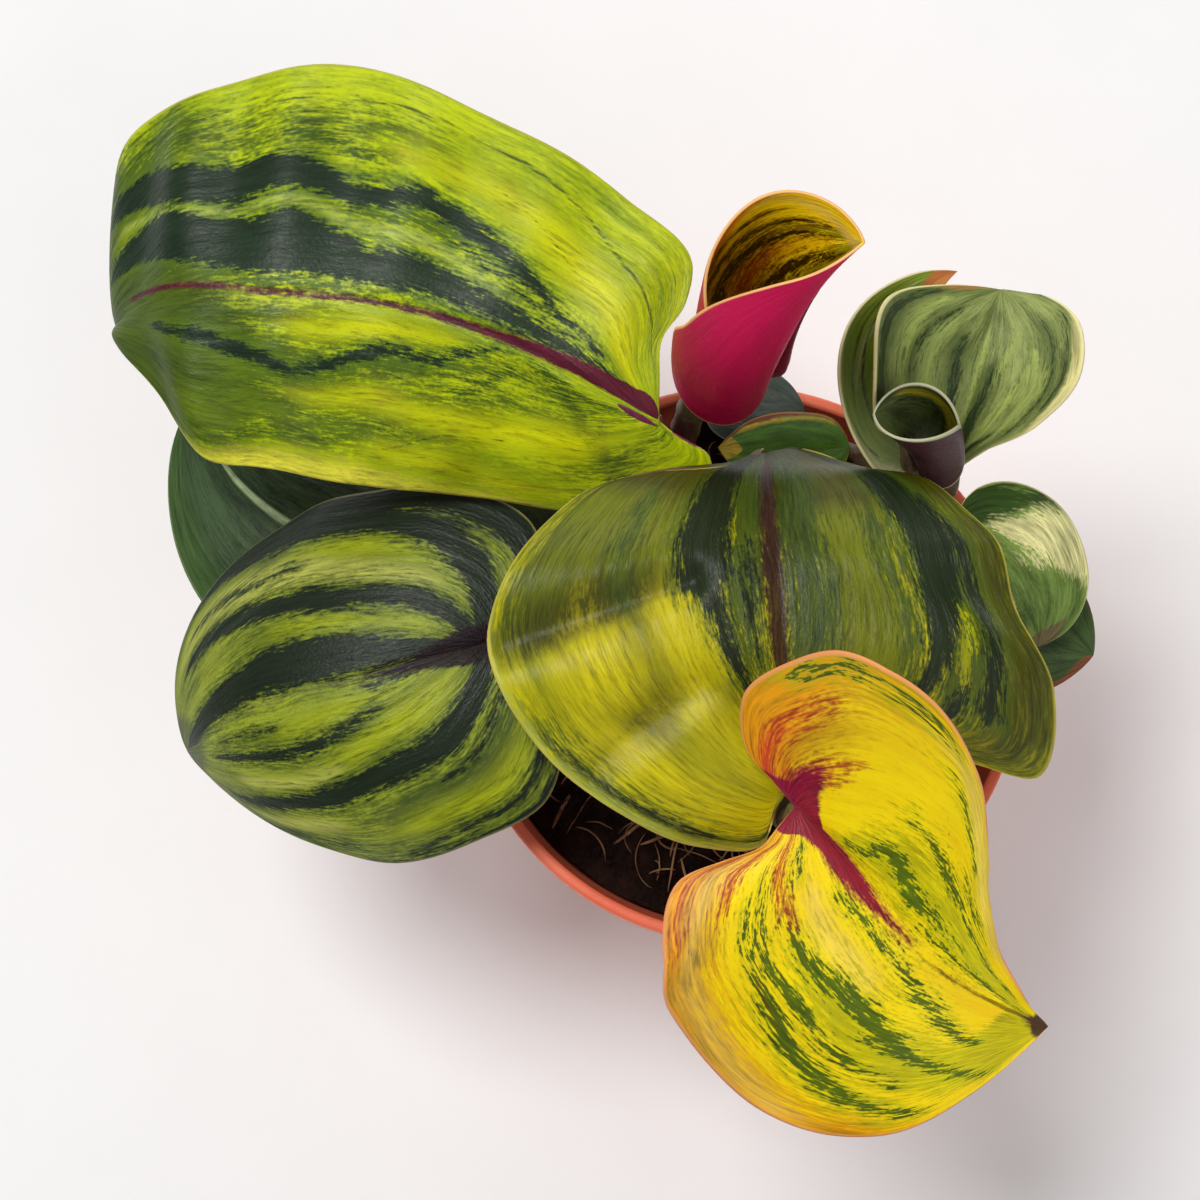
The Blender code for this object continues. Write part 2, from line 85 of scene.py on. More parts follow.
class Sheet:
    # one material's node sheet
    def __init__(self, name, **uniform):
        self.material = bpy.data.materials.new(name)
        self.material.use_nodes = True
        self.tree = self.material.node_tree
        self.shader = self.tree.nodes["Principled BSDF"]
        for socket, value in uniform.items():
            self.shader.inputs[socket.replace("_", " ")].default_value = value

    def node(self, kind, settings, values, out=0):
        made = self.tree.nodes.new(kind)
        for key, value in settings.items():
            setattr(made, key, value)
        for key, value in values.items():
            if isinstance(value, Wire):
                self.tree.links.new(value.socket, made.inputs[key])
            else:
                made.inputs[key].default_value = value
        return Wire(self, made.outputs[out])

    def mix(self, first, second, share):
        # Mix node for colours: its A, B and Result sockets for colour are 6, 7 and 2
        return self.node("ShaderNodeMix", dict(data_type="RGBA"), {0: share, 6: first, 7: second}, 2)

    def attribute(self, name):
        return self.node("ShaderNodeAttribute", dict(attribute_name=name), {}, "Fac")

    def along(self, x, y, z):
        return self.node("ShaderNodeCombineXYZ", {}, {0: x, 1: y, 2: z})

    def grain(self, place, scale=1.0, detail=2.0, rough=0.5):
        # noise round zero
        values = {"Vector": place, "Scale": scale, "Detail": detail, "Roughness": rough}
        return self.node("ShaderNodeTexNoise", {}, values) - 0.5

    def leafPlace(self):
        # u along and v across the blade
        place = self.node("ShaderNodeUVMap", dict(uv_map="leafPlace"), {})
        return (self.node("ShaderNodeSeparateXYZ", {}, {0: place}, k) for k in (0, 1))

    def object(self, drawnOut=1.0):
        # the place on the object; a z scale under 1 draws noise out upward, over 1 presses it flat
        place = self.node("ShaderNodeTexCoord", {}, {}, "Object")
        return self.node("ShaderNodeVectorMath", dict(operation="MULTIPLY"), {0: place, 1: (1.0, 1.0, drawnOut)})

    def rimmed(self, colour, look, v, wobble):
        # the thin line of colour round a blade
        edge = ((v.abs() - (1 - look["rimWidth"]) + wobble * 0.01) / 0.012).clamp()
        return self.mix(colour, paint(*look["rim"]), edge)

    def bump(self, height, distance, strength=1.0):
        return self.node("ShaderNodeBump", {}, {"Height": height, "Distance": distance, "Strength": strength})

    def plug(self, **wires):
        for socket, wire in wires.items():
            self.tree.links.new(wire.socket, self.shader.inputs[socket.replace("_", " ")])
        return self.material


# Leaf shape: lengths are in millimetres, shares run from 0 to 1.

bladeShape = dict(veinBow=1.4, ribReach=12, ribSteps=240, curlSteps=24, grooveWidth=1.3, edgeWave=0.25,
                  edgeWaveEvery=3.1, edgeWaveDrift=7, edgeWaveFrom=6)


def blend(values, at):
    # a smooth curve through evenly spaced values, read at shares from 0 to 1
    values = np.asarray(values, float)
    if len(values) == 1:
        return np.full(np.shape(at), values[0])
    last = len(values) - 1
    place = np.clip(at, 0, 1) * last
    first = np.minimum(place.astype(int), last - 1)
    g = place - first
    padded = np.concatenate([[2 * values[0] - values[1]], values, [2 * values[-1] - values[-2]]])
    a, b, c, d = (padded[first + k] for k in range(4))
    return b + 0.5 * g * (c - a + g * (2 * a - 5 * b + 4 * c - d + g * (3 * (b - c) + d - a)))


def margin(points, length, u):
    # the leaf's edge from base to tip as (along, beside), spaced by its own length
    knots = np.array([(0, 0)] + points + [(length, 0)], float)
    span = np.linalg.norm(np.diff(knots, axis=0), axis=1)
    place = np.concatenate([[0], np.cumsum(span)]) / span.sum()
    step = np.diff(place)[:, None]
    rise = np.diff(knots, axis=0) / step
    slope = np.zeros_like(knots)
    slope[1:-1] = (rise[:-1] * step[1:] + rise[1:] * step[:-1]) / (step[:-1] + step[1:])
    slope[0] = 2 * rise[0] - slope[1]
    slope[-1] = 2 * rise[-1] - slope[-2]
    i = np.clip(np.searchsorted(place, u, side="right") - 1, 0, len(step) - 1)
    h = step[i]
    g = (u - place[i])[..., None] / h
    return (knots[i] * (1 + 2 * g) * (1 - g) ** 2 + slope[i] * h * g * (1 - g) ** 2
            + knots[i + 1] * g * g * (3 - 2 * g) + slope[i + 1] * h * g * g * (g - 1))


def ribFrame(leaf, along):
    # where the rib is, and its left and up directions
    length = leaf["length"]
    reach = min(p[0] for p in leaf["left"] + leaf["right"]) - bladeShape["ribReach"]
    at = np.linspace(reach, length, bladeShape["ribSteps"])
    turn, tilt, roll = (np.radians(blend(leaf.get(k, [0]), at / length)) for k in ("heading", "pitch", "roll"))
    ahead = np.stack([np.cos(tilt) * np.cos(turn), np.cos(tilt) * np.sin(turn), np.sin(tilt)], -1)
    level = np.stack([-np.sin(turn), np.cos(turn), 0 * turn], -1)
    left = np.cos(roll)[:, None] * level + np.sin(roll)[:, None] * np.cross(ahead, level)
    above = np.cross(ahead, left)
    path = np.cumsum((ahead[1:] + ahead[:-1]) / 2 * (at[1] - at[0]), 0)
    path = np.concatenate([np.zeros((1, 3)), path])

    def read(values):
        return np.stack([np.interp(along, at, values[:, k]) for k in range(3)], -1)

    start = np.array([np.interp(0, at, path[:, k]) for k in range(3)])
    return read(path - start + np.array(leaf["base"], float)), read(left), read(above)


def relief(leaf, u, v, share, beside):
    # what stands up from the curled blade or lies lower: waves, the groove over the rib,
    # creases and a waved edge
    across = np.abs(v)
    height, waves = leaf.get("ripple", (0, 0))
    turns = waves * share + leaf.get("rippleShift", 0)
    calm = 1 - leaf.get("calm", 0) * across ** 4
    lift = height * np.sin(2 * np.pi * turns) * across ** 0.7 * calm * np.clip(share, 0, 1) ** 0.5
    fade = np.clip(1.1 - u, 0, 1) * np.clip(u * 8, 0, 1)
    lift -= leaf.get("groove", 0.5) * np.exp(-(beside / bladeShape["grooveWidth"]) ** 2) * fade
    for uFrom, vFrom, uTo, vTo, deep, broad in leaf.get("creases", []):
        uRun, vRun = uTo - uFrom, vTo - vFrom
        g = np.clip(((u - uFrom) * uRun + (v - vFrom) * vRun) / (uRun ** 2 + vRun ** 2), 0, 1)
        away = np.hypot((u - uFrom - g * uRun) * 2, v - vFrom - g * vRun)
        lift -= deep * np.exp(-(away / broad) ** 2)
    along = u * leaf["length"]
    wave = np.sin(along / bladeShape["edgeWaveEvery"] + np.sin(along / bladeShape["edgeWaveDrift"]))
    return lift + bladeShape["edgeWave"] * wave * across ** 6 * np.clip(beside / bladeShape["edgeWaveFrom"], 0, 1)


def bladePoints(leaf, u, v):
    # u runs from base to tip along a vein, v from -1 (right edge) to 1 (left edge)
    length = leaf["length"]
    onLeft = v >= 0
    across = np.abs(v)
    edge = np.where(onLeft[..., None], margin(leaf["left"], length, u), margin(leaf["right"], length, u))
    along = length * u + (edge[..., 0] - length * u) * across ** bladeShape["veinBow"]
    beside = across * edge[..., 1]
    width = np.where(onLeft, *(max(p[1] for p in leaf[k]) for k in ("left", "right")))
    share = along / length
    rise, curl = (np.where(onLeft, *(blend(side, share) for side in leaf[k])) for k in ("rise", "curl"))
    out = np.zeros_like(beside)
    lift = np.zeros_like(beside)
    steps = bladeShape["curlSteps"]
    for k in range(steps):
        angle = np.radians(rise + curl * (k + 0.5) / steps * beside / width)
        out += np.cos(angle) * beside / steps
        lift += np.sin(angle) * beside / steps
    lift += relief(leaf, u, v, share, beside)
    point, left, above = ribFrame(leaf, along)
    side = np.where(onLeft, 1.0, -1.0)
    return point + (side * out)[..., None] * left + lift[..., None] * above


def stripeField(lines, u, v):
    # how deep inside the nearest stripe a point lies, falling off past the stripe's ends
    endFall = 1.5
    field = np.full(u.shape, -1.0)
    for line in lines:
        at, centre, half = np.array(line, float).T / 100
        past = np.clip(at[0] - u, 0, 1) + np.clip(u - at[-1], 0, 1)
        inside = np.interp(u, at, half) - endFall * past - np.abs(v - np.interp(u, at, centre))
        field = np.maximum(field, inside)
    return field


def smoothPath(points, count):
    points = np.array(points, float)
    at = np.linspace(0, 1, count)
    return np.stack([blend(points[:, k], at) for k in range(3)], -1)


def tubeMesh(path, radii, sides):
    # rings of points round a path, with closed ends
    ahead = np.gradient(path, axis=0)
    ahead /= np.linalg.norm(ahead, axis=1)[:, None]
    side = np.cross(ahead[0], (0, 0, 1) if abs(ahead[0][2]) < 0.9 else (0, 1, 0))
    points = []
    for k in range(len(path)):
        side = side - ahead[k] * np.dot(side, ahead[k])
        side /= np.linalg.norm(side)
        other = np.cross(ahead[k], side)
        for j in range(sides):
            angle = 2 * np.pi * j / sides
            points.append(path[k] + radii[k] * (np.cos(angle) * side + np.sin(angle) * other))
    faces = []
    for k in range(len(path) - 1):
        for j in range(sides):
            a, b = k * sides + j, k * sides + (j + 1) % sides
            faces.append((a, b, b + sides, a + sides))
    faces.append(tuple(range(sides))[::-1])
    faces.append(tuple((len(path) - 1) * sides + j for j in range(sides)))
    return points, faces


def linked(name, data):
    made = bpy.data.objects.new(name, data)
    bpy.context.scene.collection.objects.link(made)
    return made


def newObject(name, points, faces, materials):
    mesh = bpy.data.meshes.new(name)
    mesh.from_pydata([tuple(p) for p in np.array(points) * mm], [], faces)
    for material in materials:
        mesh.materials.append(material)
    mesh.shade_smooth()
    return linked(name, mesh)


# Leaf finishes: marks are laid over each other in this order. leafGrain is noise drawn
# out along the veins: its length and width in millimetres, a shift and its detail.

# the shade kind is painted shade: in creases, wave valleys, a curl and where a blade bends away
layerOrder = ("soft", "shade", "green", "orange", "bright", "pale", "dark", "line", "gold", "cream", "pink",
              "purple", "tip")
leafGrain = dict(coarse=(13, 1.9, 1, 2), streak=(6, 0.85, 0, 3), fine=(2.4, 0.5, 3, 2), fleck=(0.8, 0.55, 9, 1))
leafLook = dict(speck=(15, 20, 5), pearl=(235, 190, 200), shading=0.6, fringe=0.035, fringeSoft=0.07,
                veinEvery=0.55, underVeinEvery=0.5)


def topFinish(name, leaf):
    look = leaf["look"]
    sheet = Sheet(name + "_top", Roughness=0.4, Specular_IOR_Level=0.22)
    u, v = sheet.leafPlace()
    length, width = leaf["length"], max(p[1] for p in leaf["left"])
    seed = look["seed"] * 7.3
    drift = sheet.grain(sheet.along(u * 5, v * 3, seed), detail=1)
    sway = v + drift * 0.08
    coarse, streak, fine, fleck = (
        sheet.grain(sheet.along(u * (length / long), sway * (width / wide), seed + shift), detail=detail, rough=0.62)
        for long, wide, shift, detail in leafGrain.values())
    broad = sheet.grain(sheet.along(u * 4, v * 4, seed + 5))
    ragged = coarse * 0.5 + streak * 0.7 + fine * 0.9 + fleck * 0.5

    tone = (broad * 2.0 + coarse * 1.2 + streak * 1.2 + fine * 1.1 + fleck * 0.6 + 0.45).clamp()
    colour = sheet.mix(paint(*look["base"][0]), paint(*look["base"][1]), tone)
    shading = (streak * 2.4 + fine * 1.2 + broad + 0.35).clamp()
    # each kind is painted in turn; shade stripes, and the soft and purple stripes noted at each leaf, are painted
    # shade or sheen
    for kind in layerOrder:
        if kind not in leaf["marks"]:
            continue
        rgb, rough, soft, strength = look[kind]
        field = sheet.attribute(kind)
        if kind == "dark" and "halo" in look:
            # a mid green fringe round each dark stripe
            fringe = ((field + leafLook["fringe"] + ragged * rough * 1.6) / leafLook["fringeSoft"] + 0.5).clamp()
            colour = sheet.mix(colour, paint(*look["halo"]), fringe * 0.75)
        shade = sheet.mix(paint(*rgb), paint(*(c * leafLook["shading"] for c in rgb)), shading)
        mask = ((field + ragged * rough) / soft + 0.5).clamp()
        colour = sheet.mix(colour, shade, mask * strength)
        if kind == "dark":
            # loose flecks of it beside the stripe
            spray = look.get("spray", 0.08)
            near = ((field + spray) / spray).clamp()
            colour = sheet.mix(colour, shade, near * (streak * 5 + fine * 5 - 0.9).clamp() * 0.7)
    colour = sheet.rimmed(colour, look, v, fine)
    specks = (fleck * 1.4 + fine * 1.2 - 0.25).clamp()
    colour = sheet.mix(colour, paint(*leafLook["speck"]), specks * look.get("flecks", 0.5))
    veins = (v * (width / leafLook["veinEvery"]) + drift * 2).sine()
    height = veins * 0.12 + coarse * 0.6 + streak * 0.5 + fleck * 0.35
    return sheet.plug(
        Base_Color=colour,
        Roughness=(look["rough"] + fine * 0.25 + fleck * 0.15).clamp(),
        Normal=sheet.bump(height, 0.0003, look.get("bump", 0.5)),
    )


def underFinish(name, leaf):
    look = leaf["look"]
    near, far = look["under"]
    sheet = Sheet(name + "_under", Roughness=0.5, Specular_IOR_Level=0.25)
    u, v = sheet.leafPlace()
    length, width = leaf["length"], max(p[1] for p in leaf["left"])
    streak = sheet.grain(sheet.along(u * (length / 8), v * (width / 0.8), 3.1), detail=3, rough=0.6)
    fleck = sheet.grain(sheet.along(u * (length / 0.7), v * (width / 0.6), 8.2), detail=1)
    broad = sheet.grain(sheet.along(u * 3, v * 4, 4.4))
    colour = sheet.mix(paint(*near), paint(*far), (u * 1.1 - 0.1 + broad * 0.9 + streak * 0.9).clamp())
    pearls = (fleck * 4 - 0.95).clamp() * look.get("pearls", 0.25)
    colour = sheet.rimmed(sheet.mix(colour, paint(*leafLook["pearl"]), pearls), look, v, streak)
    veins = (v * (width / leafLook["underVeinEvery"])).sine()
    return sheet.plug(
        Base_Color=colour,
        Roughness=(0.5 + fleck * 0.3).clamp(),
        Normal=sheet.bump(veins * 0.15 + fleck * 0.6 + streak * 0.4, 0.00025, 0.5),
    )


def stalkFinish(name, low, high):
    sheet = Sheet(name, Roughness=0.4, Specular_IOR_Level=0.3)
    place = sheet.object()
    streak = sheet.grain(sheet.object(0.12), 900, 3, 0.6)
    speck = sheet.grain(place, 1800, 1)
    broad = sheet.grain(place, 60)
    colour = sheet.mix(paint(*low), paint(*high), (broad * 2 + streak * 1.5 + 0.5).clamp())
    colour = sheet.mix(colour, paint(60, 15, 30), (speck * 3 - 0.5).clamp() * 0.6)
    return sheet.plug(
        Base_Color=colour,
        Roughness=(0.42 + streak * 0.3).clamp(),
        Normal=sheet.bump(streak + speck * 0.5, 0.0003, 0.5),
    )


# Each leaf is drawn flat first (left and right edges as distances along and beside its
# rib), then bent along the rib by heading, pitch and roll in degrees, and curled from it.
# marks are stripes, each a run of (along, across, half width) in percent of the blade.
# look gives each kind its colour, how ragged and how soft its edges are, and its strength.

leafWideUpper = dict(
    base=(-18, 41, 153), length=129,
    left=[(-6, 1.5), (-12, 2), (-14, 5), (-11.5, 11), (-4, 22), (8, 29), (32, 36), (62, 38), (88, 35), (102, 33),
          (113, 18)],
    right=[(4, 8), (7, 15), (6, 23), (8, 30), (27, 37), (52, 44.5), (72, 51.5), (97, 45.5), (121, 37)],
    heading=[155, 151, 161, 172, 178, 181, 185], pitch=[8, 5, 2, -2, -8, -36, -80],
    rise=([-38, -16, 2], [8, 2, 0]), curl=([-20, -20, -40], [-10, -20, -8]), ripple=(2.4, 6), rippleShift=0.47,
    calm=0.75,
    stem="stemBack", joint=116, stalk=[(-19.6, 44, 126), (-20.3, 43, 140), (-20, 42, 148)], grid=(150, 58),
    groove=1.0,
    creases=[(0.17, 0.85, 0.19, 0.25, 1.2, 0.1), (0.33, 0.55, 0.36, 0.95, 0.8, 0.1),
          (0.62, 0.5, 0.66, 0.9, 0.7, 0.09)],
    marks=dict(
        soft=[[(42, 68, 2), (53, 68, 10), (62, 70, 11), (69, 60, 20), (74, 45, 45), (86, 30, 80)],
            [(20, 42, 2), (28, 38, 4), (34, 44, 5), (42, 47, 3)],
            [(40, -22, 2), (50, -20, 3), (70, -10, 8), (85, -10, 20)], [(66, -80, 2), (74, -75, 10), (84, -80, 20)],
            [(45, -72, 2), (55, -70, 6), (65, -74, 7), (76, -85, 8)], [(15, 35, 2), (20, 20, 5), (28, 16, 2)],
            # the first stripe on the next line is painted shade over the far end, where the blade bends down
            [(72, 10, 5), (82, 10, 30), (92, 10, 80), (100, 0, 200)], [(14, 40, 2), (17, 70, 4), (20, 90, 2)],
            [(30, 24, 5), (40, 27, 8), (50, 33, 12), (60, 40, 15), (68, 36, 22), (74, 30, 40)],
            [(10, 62, 0), (16, 70, 5), (20, 72, 2)], [(55, 12, 2), (65, 12, 6), (75, 10, 10)]],
        # shade: painted shade over the far end, in the wave valleys near 57 and 71 along and along the crease near
        # 17 along
        shade=[[(70, 10, 0), (78, 0, 50), (86, 0, 120), (100, 0, 200)], [(54, -40, 0), (57, -40, 40), (60, -40, 0)],
            [(68, -40, 0), (71, -40, 50), (74, -40, 10)], [(15.5, 50, 0), (17, 50, 40), (19, 50, 0)]],
        green=[[(26, 20, 1), (33, 36, 1.5), (37, 45, 2), (46, 48, 1.5), (54, 56, 1)],
            [(30, -33, 1), (36, -38, 5), (44, -42, 5), (50, -37, 5), (56, -42, 5)],
            [(42, -5.5, 1.2), (50, -5, 2), (60, -6, 2.5), (68, -10, 3), (75, -18, 3), (82, -24, 3)],
            [(36, -70, 1), (45, -66, 2), (52, -60, 2), (58, -70, 3)], [(8, 30, 5), (12, 24, 4), (20, 12, 3)]],
        bright=[[(8, -40, 5), (14, -42, 9), (22, -50, 9), (30, -60, 7), (38, -68, 5), (47, -66, 2)],
            [(35, 10, 2), (47, 13, 5), (60, 16, 2)], [(20, 55, 8), (35, 58, 6), (50, 50, 5), (60, 52, 2)],
            [(30, 88, 3), (40, 82, 6), (50, 80, 4)]],
        pale=[[(22, -14, 1), (30, -20, 2.5), (36, -26, 3), (43, -31, 3.5), (48, -28, 3.5), (53, -30, 3),
             (58, -39, 3.5), (62, -42, 3), (67, -38, 3), (73, -42, 3), (80, -52, 3), (86, -62, 3)]],
        dark=[[(10, -20, 1.5), (16, -14, 3), (24, -12, 4.5), (33, -13, 5.5), (42, -16, 7.5), (50, -14, 7),
             (55, -18, 10), (60, -22, 14), (66, -22, 13), (72, -26, 13), (78, -34, 14), (84, -42, 12),
             (90, -48, 8)],
            [(14, -24, 1), (22, -26, 2), (27, -33, 3), (33, -40, 3.5), (38, -45, 4.5), (44, -49, 4.5), (49, -43, 5),
             (53, -42, 5.5), (57, -50, 7), (62, -54, 8), (67, -51, 9), (72, -55, 10), (78, -64, 10), (85, -76, 7)],
            [(28, 8, 0.4), (33, 16, 1.5), (38, 24, 2.5), (46, 24, 2.5), (52, 29, 3), (58, 37, 3), (63, 40, 3.5),
             (69, 33, 4.5), (76, 23, 5), (85, 20, 3)], [(20, -20, 0.4), (30, -27, 1), (38, -36, 0.8)]],
        line=[[(5, -95, 0.6), (7, -86, 0.7), (12, -71, 0.8), (16.5, -67, 0.9), (22, -69, 0.9), (28, -79, 0.9),
             (36, -86, 0.8), (44, -87.5, 0.7), (55, -83, 0.5), (62, -86, 0.4)],
            [(10, 0, 0.4), (13, 30, 0.6), (16.5, 60, 0.8), (18, 85, 0.6)],
            [(30, 62, 0.4), (40, 66, 0.5), (50, 78, 0.4)], [(24, -50, 0.3), (32, -62, 0.5), (40, -72, 0.4)],
            [(50, 90, 0.4), (60, 91, 0.6), (70, 90, 0.6)]],
        cream=[[(30, 100, 2), (45, 100, 7), (55, 99, 11), (65, 98, 11), (72, 99, 9), (80, 100, 2)]],
        purple=[[(-10, -60, 200), (0, -55, 50), (3, -35, 33), (6, -20, 16), (10, -12, 8.5), (15, -7, 5.5),
             (20, -3.5, 4), (30, -0.2, 2.8), (40, 0.3, 2), (50, 0.3, 1.4), (65, -1, 1.1), (78, -7, 1.4),
             (90, -12, 2)]],
    ),
    look=dict(
        base=((188, 202, 0), (108, 134, 4)), seed=1, halo=(84, 112, 22), rim=(200, 190, 70), rimWidth=0.012,
        # soft is the leaf's own mid green, and painted shade at the far end; shade is painted shade
        rough=0.42, bump=0.7, soft=((76, 104, 22), 0.35, 0.16, 0.85), green=((66, 96, 20), 0.18, 0.06, 0.85),
        bright=((226, 228, 0), 0.3, 0.1, 0.8), shade=((60, 80, 20), 0.1, 0.5, 0.6),
        line=((72, 84, 14), 0.012, 0.008, 0.8), pale=((166, 184, 70), 0.08, 0.03, 0.9),
        dark=((24, 46, 30), 0.11, 0.03, 0.97), cream=((246, 238, 70), 0.2, 0.1, 0.9),
        purple=((100, 0, 46), 0.03, 0.02, 0.98), under=((120, 40, 70), (110, 110, 60)),
    ),
)

leafWideMiddle = dict(
    base=(8, -32, 155), length=98,
    left=[(-4, 4), (-11, 7), (-10, 20), (-1, 35), (14, 50), (33, 57), (50, 48), (59, 38), (64, 24), (68, 10)],
    right=[(-4, 6), (-8, 12), (2, 30), (-3, 48), (14, 52), (31, 46), (48, 43), (64, 31), (74, 18), (82, 7)],
    heading=[96, 94, 91, 90], pitch=[24, 12, -16, -62, -85],
    rise=([5, 6, 6], [5, 3, 3]), curl=([-10, -10, -10], [-10, -15, -20]), ripple=(1.2, 5),
    stem="stemFront", joint=118, stalk=[(7.2, -25, 130), (7.6, -28, 142), (8, -31.5, 151)], grid=(120, 62),
    groove=0.8,
    creases=[(0.29, 0.4, 0.3, 0.9, 2.6, 0.07), (0.45, 0.3, 0.46, 0.95, 2.6, 0.055),
          (0.36, -0.9, 0.5, -0.75, 0.8, 0.08)],
    marks=dict(
        soft=[[(20, -30, 25), (35, -30, 27), (50, -30, 28), (80, -30, 35)],
            [(26, -90, 10), (40, -92, 14), (60, -90, 16), (80, -90, 20)],
            # the stripes on this line and the next are painted shade: past the fold near 45 along, along the crease
            # near 30 along and over the end that bends away
            [(42, 66, 0), (45.5, 66, 30), (50, 64, 36), (90, 60, 50)], [(26, 30, 4), (30, 62, 12), (33, 50, 4)],
            [(70, 0, 40), (80, 0, 90), (100, 0, 200)]],
        # shade: painted shade about the creases, over the end that bends away and along the crease near the right
        # edge
        shade=[[(26, 62, 0), (27.5, 64, 20), (30, 66, 26), (32, 66, 0)],
            [(42.5, 64, 0), (44, 64, 34), (47, 64, 30), (51, 64, 0)],
            [(33, 50, 0), (35, 50, 7), (42, 50, 6), (44, 50, 0)], [(16, 55, 0), (24, 42, 12), (28, 35, 0)],
            [(55, 0, 0), (62, 0, 50), (70, 0, 120)], [(28, -75, 10), (36, -85, 20), (45, -95, 15), (60, -95, 10)]],
        green=[[(20, -10, 9), (35, -11, 10), (50, -10, 10), (80, -10, 12)],
            [(26, 14, 6), (36, 15, 8), (44, 10, 9), (80, 10, 9)], [(42, 50, 2), (50, 56, 3), (62, 56, 3)],
            [(30, -46, 2), (45, -47, 3.5), (58, -42, 3)],
            [(30, -64, 6), (45, -70, 16), (66, -66, 16), (80, -60, 12)]],
        # the second bright stripe is the leaf's yellow, partly painted light between the two creases
        bright=[[(8, 75, 10), (20, 78, 13), (28, 78, 8)], [(31, 62, 3), (35, 66, 14), (41, 68, 12), (44, 68, 2)],
            [(15, 50, 5), (25, 45, 8), (33, 40, 8), (42, 40, 5)]],
        dark=[[(24, 22, 1), (30, 23, 2.5), (38, 23, 3), (42.5, 25, 4.5), (44, 26, 9), (55, 26, 9), (66, 25, 9),
             (80, 24, 10), (95, 15, 10)], [(26, 12, 0.8), (34, 12, 1.5), (42, 10, 2), (50, 10, 1)],
            [(30, -54, 2), (40, -58, 5.5), (45, -62, 7.5), (50, -67, 9.5), (56, -68, 11), (61, -64, 12),
             (66, -60, 12), (80, -60, 10), (90, -50, 6)],
            [(34, -76, 3), (42, -78, 3.5), (50, -82, 3.5), (58, -79, 3.5), (66, -76, 2)],
            [(30, -66, 3), (36, -68, 2)], [(14, 93, 1.2), (20, 93, 2), (26, 95.5, 1.5), (36, 97, 1.2)],
            [(5, 90, 0.8), (9, 93, 0.8)]],
        gold=[[(36, -67, 1), (41, -68, 2), (47, -73, 1.2)]],
        cream=[[(5, 100, 2.5), (20, 100, 3.5), (40, 100, 2), (50, 100, 0.8)]],
        purple=[[(-10, 0, 200), (2, 0, 30), (8, 0, 12), (20, 2, 5), (30, 2, 4), (40, 2, 4), (50, 2, 3.5),
             (70, 2, 3), (90, 0, 2)]],
    ),
    look=dict(
        base=((200, 190, 0), (126, 130, 0)), seed=2, halo=(74, 92, 14), rim=(205, 190, 80), rimWidth=0.012,
        # soft is the leaf's own mid green and olive, and painted shade past the fold and at the far end; shade is
        # painted shade
        rough=0.42, bump=0.7, soft=((94, 108, 8), 0.26, 0.2, 0.9), shade=((62, 60, 4), 0.08, 0.4, 0.8),
        green=((64, 86, 22), 0.16, 0.08, 0.9), bright=((232, 216, 0), 0.3, 0.2, 0.7),
        dark=((28, 42, 20), 0.12, 0.03, 0.96), gold=((176, 180, 0), 0.15, 0.02, 0.9),
        cream=((190, 200, 80), 0.1, 0.03, 0.9), purple=((62, 26, 26), 0.04, 0.03, 0.92),
        under=((120, 40, 70), (110, 90, 60)),
    ),
)

